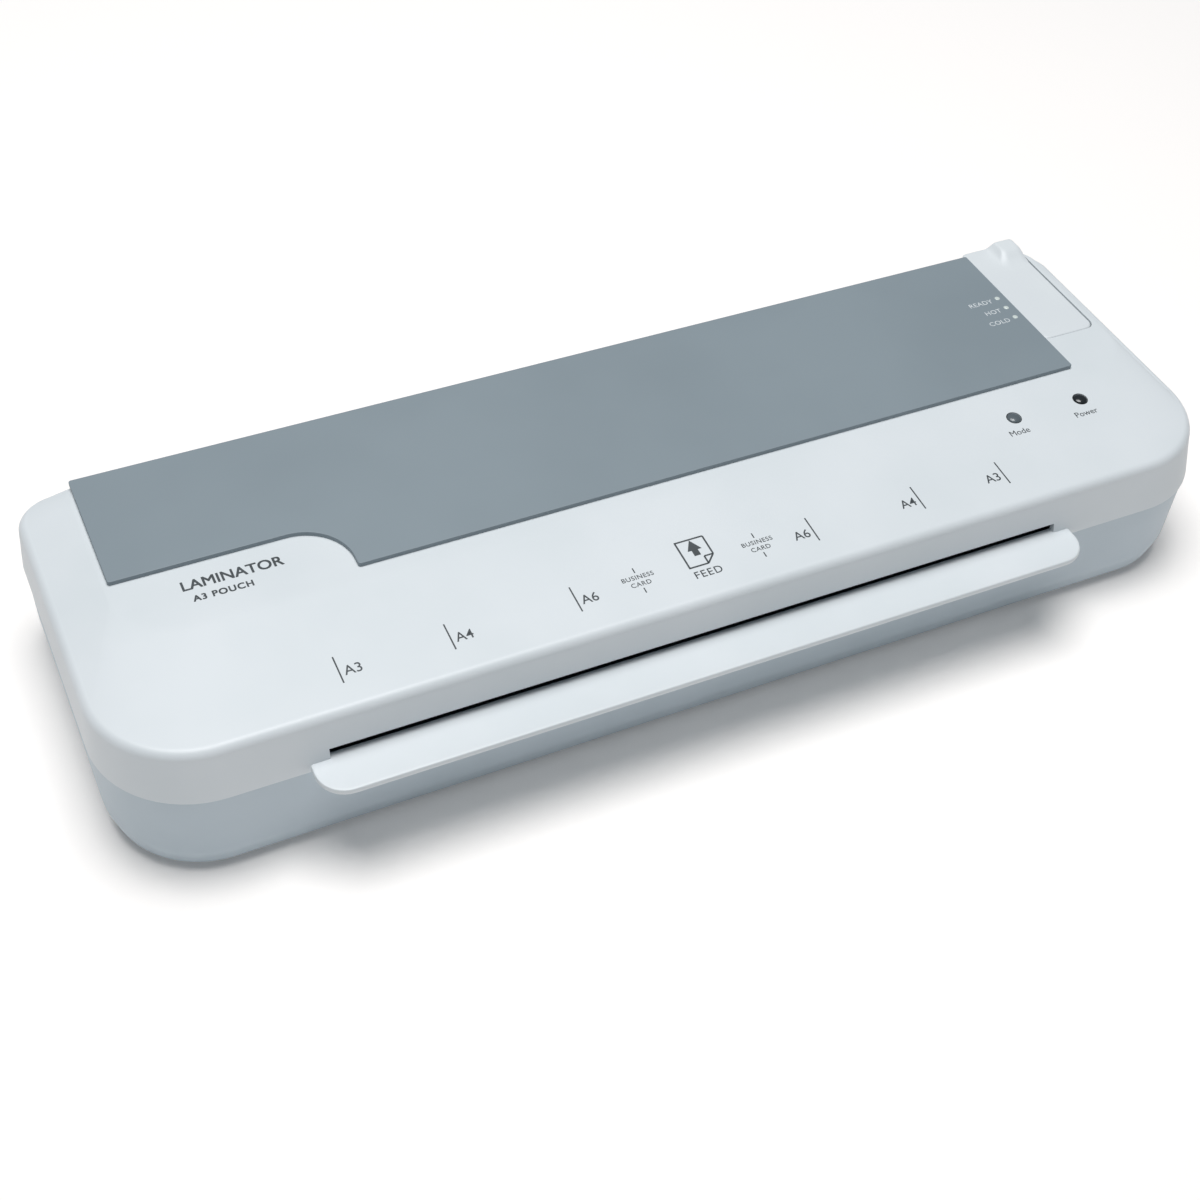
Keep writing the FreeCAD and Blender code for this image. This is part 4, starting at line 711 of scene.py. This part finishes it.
def cordGland():
    g = glandShape
    low, high = nodeBox("cord_gland")
    length = high.y - low.y
    t = g["flangeThick"]
    rim, turn = g["rim"], g["rimTurn"]
    profile = [(g["bore"], 0), (g["bore"], length - g["mouth"]), (g["bore"] + g["mouth"], length),
               (g["flange"] - rim, length), (g["flange"] - turn, length - turn),
               (g["flange"], length - rim), (g["flange"], length - t), (g["body"], length - t),
               (g["body"], 0), (g["bore"], 0)]
    place = (Matrix.Translation(((low.x + high.x) / 2, low.y, (low.z + high.z) / 2))
             @ Matrix.Rotation(-math.pi / 2, 4, "X"))
    piece = pieceFrom(turnedShape(profile, place), "cordGlandSkin")
    finishPiece(piece, "casing", "gland_black", "cord_gland")


cordGland()
print("keys, lenses, feet and gland made")


# printed marks: thin films of ink on the slope, on the plateau and on the panel

slopeStart = casing["front"] + casing["frontDraft"] + casing["rimRadius"]
slopeEnd = casing["front"] + casing["plateauFront"]
slopeTilt = math.atan2(casing["plateau"] - casing["rimTop"], slopeEnd - slopeStart)
filmMm = 0.05
liftMm = 0.005
printShape = {
    "markY": -49.0, "markLength": 13.0, "markWidth": 0.6, "labelSize": 6.3, "labelDrop": 1.5,
    "labelGap": 1.8, "labelBold": 0.03,
    # where the marks stand, from the feed slot's middle
    "widths": {"A3": (-149.5, 145.8), "A4": (-105.0, 103.8), "A6": (-52.5, 53.2)},
    "cards": (-25.0, 28.5), "tickWidth": 0.5, "tickLength": 2.6, "tickOffset": 5.4,
    "cardWords": (("BUSINESS", 1.7), ("CARD", -1.9)), "cardSize": 3.1,
    "keyLabelY": -30.7, "keyLabelX": -2.5, "keyLabelSize": 4.4,
    "lampGap": 2.2, "lampDrop": 1.0, "lampSize": 3.9,
}
iconShape = {"x": 2.8, "y": -43.5, "width": 12.4, "height": 14.0, "line": 0.75, "curl": 4.0,
             "headY": 3.0, "headRadius": 3.6, "stemY": -0.2, "stemWidth": 2.8, "stemLength": 3.2,
             "wordDrop": 4.4, "wordSize": 5.1}
nameShape = {"words": "LAMINATOR", "size": 7.2, "x": 45.5, "y": 11.0,
             "under": "A3 POUCH", "underSize": 4.4, "underX": 40.0, "underY": 3.4,
             "spread": ((-0.14, -0.1), (0.14, -0.1), (-0.14, 0.1), (0.14, 0.1)), "step": 0.004}


def onSlope(x, y):
    # a place on the slope, from a point in plan
    along = (y - slopeStart) / math.cos(slopeTilt)
    return (Matrix.Translation((0, slopeStart, casing["rimTop"])) @ Matrix.Rotation(slopeTilt, 4, "X")
            @ Matrix.Translation((x, along, 0)))


def onFlat(x, y, z):
    return Matrix.Translation((x, y, z))


def inkBar(width, length, place):
    bm = boxTool(-width / 2, width / 2, -length / 2, length / 2, liftMm, filmMm)
    bmesh.ops.transform(bm, matrix=place, verts=bm.verts)
    return bm


def inkText(words, size, place, align="CENTER", spacing=1.0, bold=0.0):
    curve = bpy.data.curves.new("words", "FONT")
    curve.body = words
    curve.size = size
    curve.align_x = align
    curve.align_y = "CENTER"
    curve.space_character = spacing
    curve.offset = bold
    curve.extrude = filmMm / 2
    curve.resolution_u = 4
    holder = bpy.data.objects.new("words", curve)
    bpy.context.scene.collection.objects.link(holder)
    mesh = bpy.data.meshes.new_from_object(
        holder.evaluated_get(bpy.context.evaluated_depsgraph_get()))
    bm = bmesh.new()
    bm.from_mesh(mesh)
    bmesh.ops.translate(bm, vec=(0, 0, filmMm / 2 + liftMm), verts=bm.verts)
    bmesh.ops.transform(bm, matrix=place, verts=bm.verts)
    bpy.data.objects.remove(holder)
    bpy.data.curves.remove(curve)
    bpy.data.meshes.remove(mesh)
    return bm


def printPiece(parts, name, ink):
    bm = together(parts)
    bmesh.ops.scale(bm, vec=(mm, mm, mm), verts=bm.verts)
    mesh = bpy.data.meshes.new(name)
    bm.to_mesh(mesh)
    bm.free()
    piece = bpy.data.objects.new(name, mesh)
    bpy.context.scene.collection.objects.link(piece)
    piece.data.materials.append(ink)
    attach(piece, "casing")


def widthMarks():
    s = printShape
    parts = []
    for label, reach in s["widths"].items():
        for side, align, offset in zip((-1, 1), ("LEFT", "RIGHT"), reach):
            x = feedX + offset
            parts.append(inkBar(s["markWidth"], s["markLength"], onSlope(x, s["markY"])))
            place = onSlope(x - side * s["labelGap"], s["markY"] - s["labelDrop"])
            parts.append(inkText(label, s["labelSize"], place, align, 1.0, s["labelBold"]))
    for offset in s["cards"]:
        x = feedX + offset
        for step in (-1, 1):
            place = onSlope(x, s["markY"] + step * s["tickOffset"])
            parts.append(inkBar(s["tickWidth"], s["tickLength"], place))
        for words, rise in s["cardWords"]:
            place = onSlope(x, s["markY"] + rise)
            parts.append(inkText(words, s["cardSize"], place, "CENTER", 1.1, 0.02))
    printPiece(parts, "widthMarks", inkDark)


def feedIcon():
    # a sheet with a curled corner, and an arrow into the slot
    s = iconShape
    x, y = feedX + s["x"], s["y"]
    w, h, line, curl = s["width"], s["height"], s["line"], s["curl"]
    right, foot = x + w / 2, y - h / 2
    parts = [inkBar(line, h + line, onSlope(x - w / 2, y)),
             inkBar(line, h - curl, onSlope(right, y + curl / 2)),
             inkBar(w, line, onSlope(x, y + h / 2)),
             inkBar(w - curl, line, onSlope(x - curl / 2, foot)),
             inkBar(line, curl, onSlope(right - curl, foot + curl / 2)),
             inkBar(curl, line, onSlope(right - curl / 2, foot + curl))]
    fold = onSlope(right - curl / 2, foot + curl / 2) @ Matrix.Rotation(math.pi / 4, 4, "Z")
    parts.append(inkBar(curl * math.sqrt(2), line, fold))
    tip = onSlope(x, y + s["headY"]) @ Matrix.Translation((0, 0, filmMm / 2 + liftMm))
    arrow = bmesh.new()
    bmesh.ops.create_cone(arrow, cap_ends=True, segments=3, radius1=s["headRadius"],
                          radius2=s["headRadius"], depth=filmMm, matrix=tip)
    parts.append(arrow)
    parts.append(inkBar(s["stemWidth"], s["stemLength"], onSlope(x, y + s["stemY"])))
    parts.append(inkText("FEED", s["wordSize"], onSlope(x, foot - s["wordDrop"]), "CENTER", 1.15, 0.03))
    printPiece(parts, "feedIcon", inkDark)


def keyLabels():
    s = printShape
    parts = []
    for low, high, words in ((powerLow, powerHigh, "Power"), (modeLow, modeHigh, "Mode")):
        x = (low.x + high.x) / 2 + s["keyLabelX"]
        parts.append(inkText(words, s["keyLabelSize"], onSlope(x, s["keyLabelY"])))
    printPiece(parts, "keyLabels", inkDark)


def lampLabels():
    s = printShape
    x, firstY = lensLow.x - s["lampGap"], lensLow.y + lensShape["firstOffset"] - s["lampDrop"]
    parts = []
    for k, words in enumerate(("COLD", "HOT", "READY")):
        place = onFlat(x, firstY + k * lensShape["pitch"], panelHigh.z)
        parts.append(inkText(words, s["lampSize"], place, "RIGHT", 1.05))
    printPiece(parts, "lampLabels", inkLight)


def nameLabel():
    # each line is laid down four times, a hair apart, for a bold face
    n = nameShape
    parts = []
    for k, (dx, dy) in enumerate(n["spread"]):
        x, z = panelLow.x + dx, casing["plateau"] + n["step"] * k
        parts.append(inkText(n["words"], n["size"], onFlat(x + n["x"], n["y"] + dy, z)))
        parts.append(inkText(n["under"], n["underSize"], onFlat(x + n["underX"], n["underY"] + dy, z),
                             "CENTER", 1.15))
    printPiece(parts, "nameLabel", inkDark)


widthMarks()
feedIcon()
keyLabels()
lampLabels()
nameLabel()
print("printed marks made")


# the solid nodes that still show: their record slot picks the finish

edgeRadii = {"corner_lever": 0.4, "corner_base": 0.3, "gear_motor": 0.4}
slotOf = {row["node"]: row["material_slot"] for row in frame["record"]["subparts"]}
for name, node in nodes.items():
    node.data.materials.clear()
    node.data.materials.append(materials[slotOf[name]])
    if node.hide_render:
        continue
    weld = node.modifiers.new("weld", "WELD")
    weld.merge_threshold = 0.00001
    if name in edgeRadii:
        planar = node.modifiers.new("planar", "DECIMATE")
        planar.decimate_type = "DISSOLVE"
        planar.angle_limit = math.radians(0.6)
        soften(node, edgeRadii[name], 3)
print("solid nodes finished")


# camera, lights and floor

view = {"azimuth": 27.72, "elevation": 45.83, "roll": 4.03, "lens": 55.47,
        "place": (-0.2825, -0.4965, 0.583)}
azimuth, elevation, roll = (math.radians(view[key]) for key in ("azimuth", "elevation", "roll"))
forward = Vector((math.sin(azimuth) * math.cos(elevation), math.cos(azimuth) * math.cos(elevation),
                  -math.sin(elevation)))
level = forward.cross(Vector((0, 0, 1))).normalized()
above = level.cross(forward)
across = level * math.cos(roll) + above * math.sin(roll)
upright = above * math.cos(roll) - level * math.sin(roll)
cameraData = bpy.data.cameras.new("camera")
cameraData.lens = view["lens"]
cameraData.sensor_width = 36
camera = bpy.data.objects.new("camera", cameraData)
bpy.context.scene.collection.objects.link(camera)
turnMatrix = Matrix((across, upright, -forward)).transposed().to_4x4()
camera.matrix_world = Matrix.Translation(view["place"]) @ turnMatrix
bpy.context.scene.camera = camera

ground = {"size": 6, "colour": "#fefaf7", "roughness": 0.9, "specular": 0.1,
          "glow": "#fffdfb", "glowStrength": 0.08}
floorData = bpy.data.meshes.new("floor")
floorBm = bmesh.new()
bmesh.ops.create_grid(floorBm, x_segments=1, y_segments=1, size=ground["size"])
floorBm.to_mesh(floorData)
floorBm.free()
floor = bpy.data.objects.new("floor", floorData)
bpy.context.scene.collection.objects.link(floor)
floorMaterial = bpy.data.materials.new("paperBackground")
floorMaterial.use_nodes = True
floorShader = floorMaterial.node_tree.nodes["Principled BSDF"]
for socket, value in (("Base Color", linearColour(ground["colour"])), ("Roughness", ground["roughness"]),
                      ("Specular IOR Level", ground["specular"]),
                      ("Emission Color", linearColour(ground["glow"])),
                      ("Emission Strength", ground["glowStrength"])):
    floorShader.inputs[socket].default_value = value
floorData.materials.append(floorMaterial)

lights = {
    "overhead": {"place": (-0.1, 0.15, 2.3), "size": 1.6, "power": 52, "colour": "#ffffff"},
    "frontFill": {"place": (-0.9, -2.4, 1.3), "size": 1.6, "power": 3, "colour": "#dbe8f5"},
}
for name, light in lights.items():
    lamp = bpy.data.lights.new(name, "AREA")
    lamp.shape = "DISK"
    lamp.size = light["size"]
    lamp.energy = light["power"]
    lamp.color = linearColour(light["colour"])[:3]
    holder = bpy.data.objects.new(name, lamp)
    bpy.context.scene.collection.objects.link(holder)
    holder.location = light["place"]
    holder.rotation_mode = "QUATERNION"
    holder.rotation_quaternion = (-Vector(light["place"])).to_track_quat("-Z", "Y")
world = bpy.data.worlds.new("studio")
bpy.context.scene.world = world
world.use_nodes = True
sky = {"colour": "#d6e4f0", "strength": 0.16}
skyShader = world.node_tree.nodes["Background"]
skyShader.inputs["Color"].default_value = linearColour(sky["colour"])
skyShader.inputs["Strength"].default_value = sky["strength"]
bpy.context.scene.view_settings.view_transform = "Standard"
print("camera, lights and floor made")
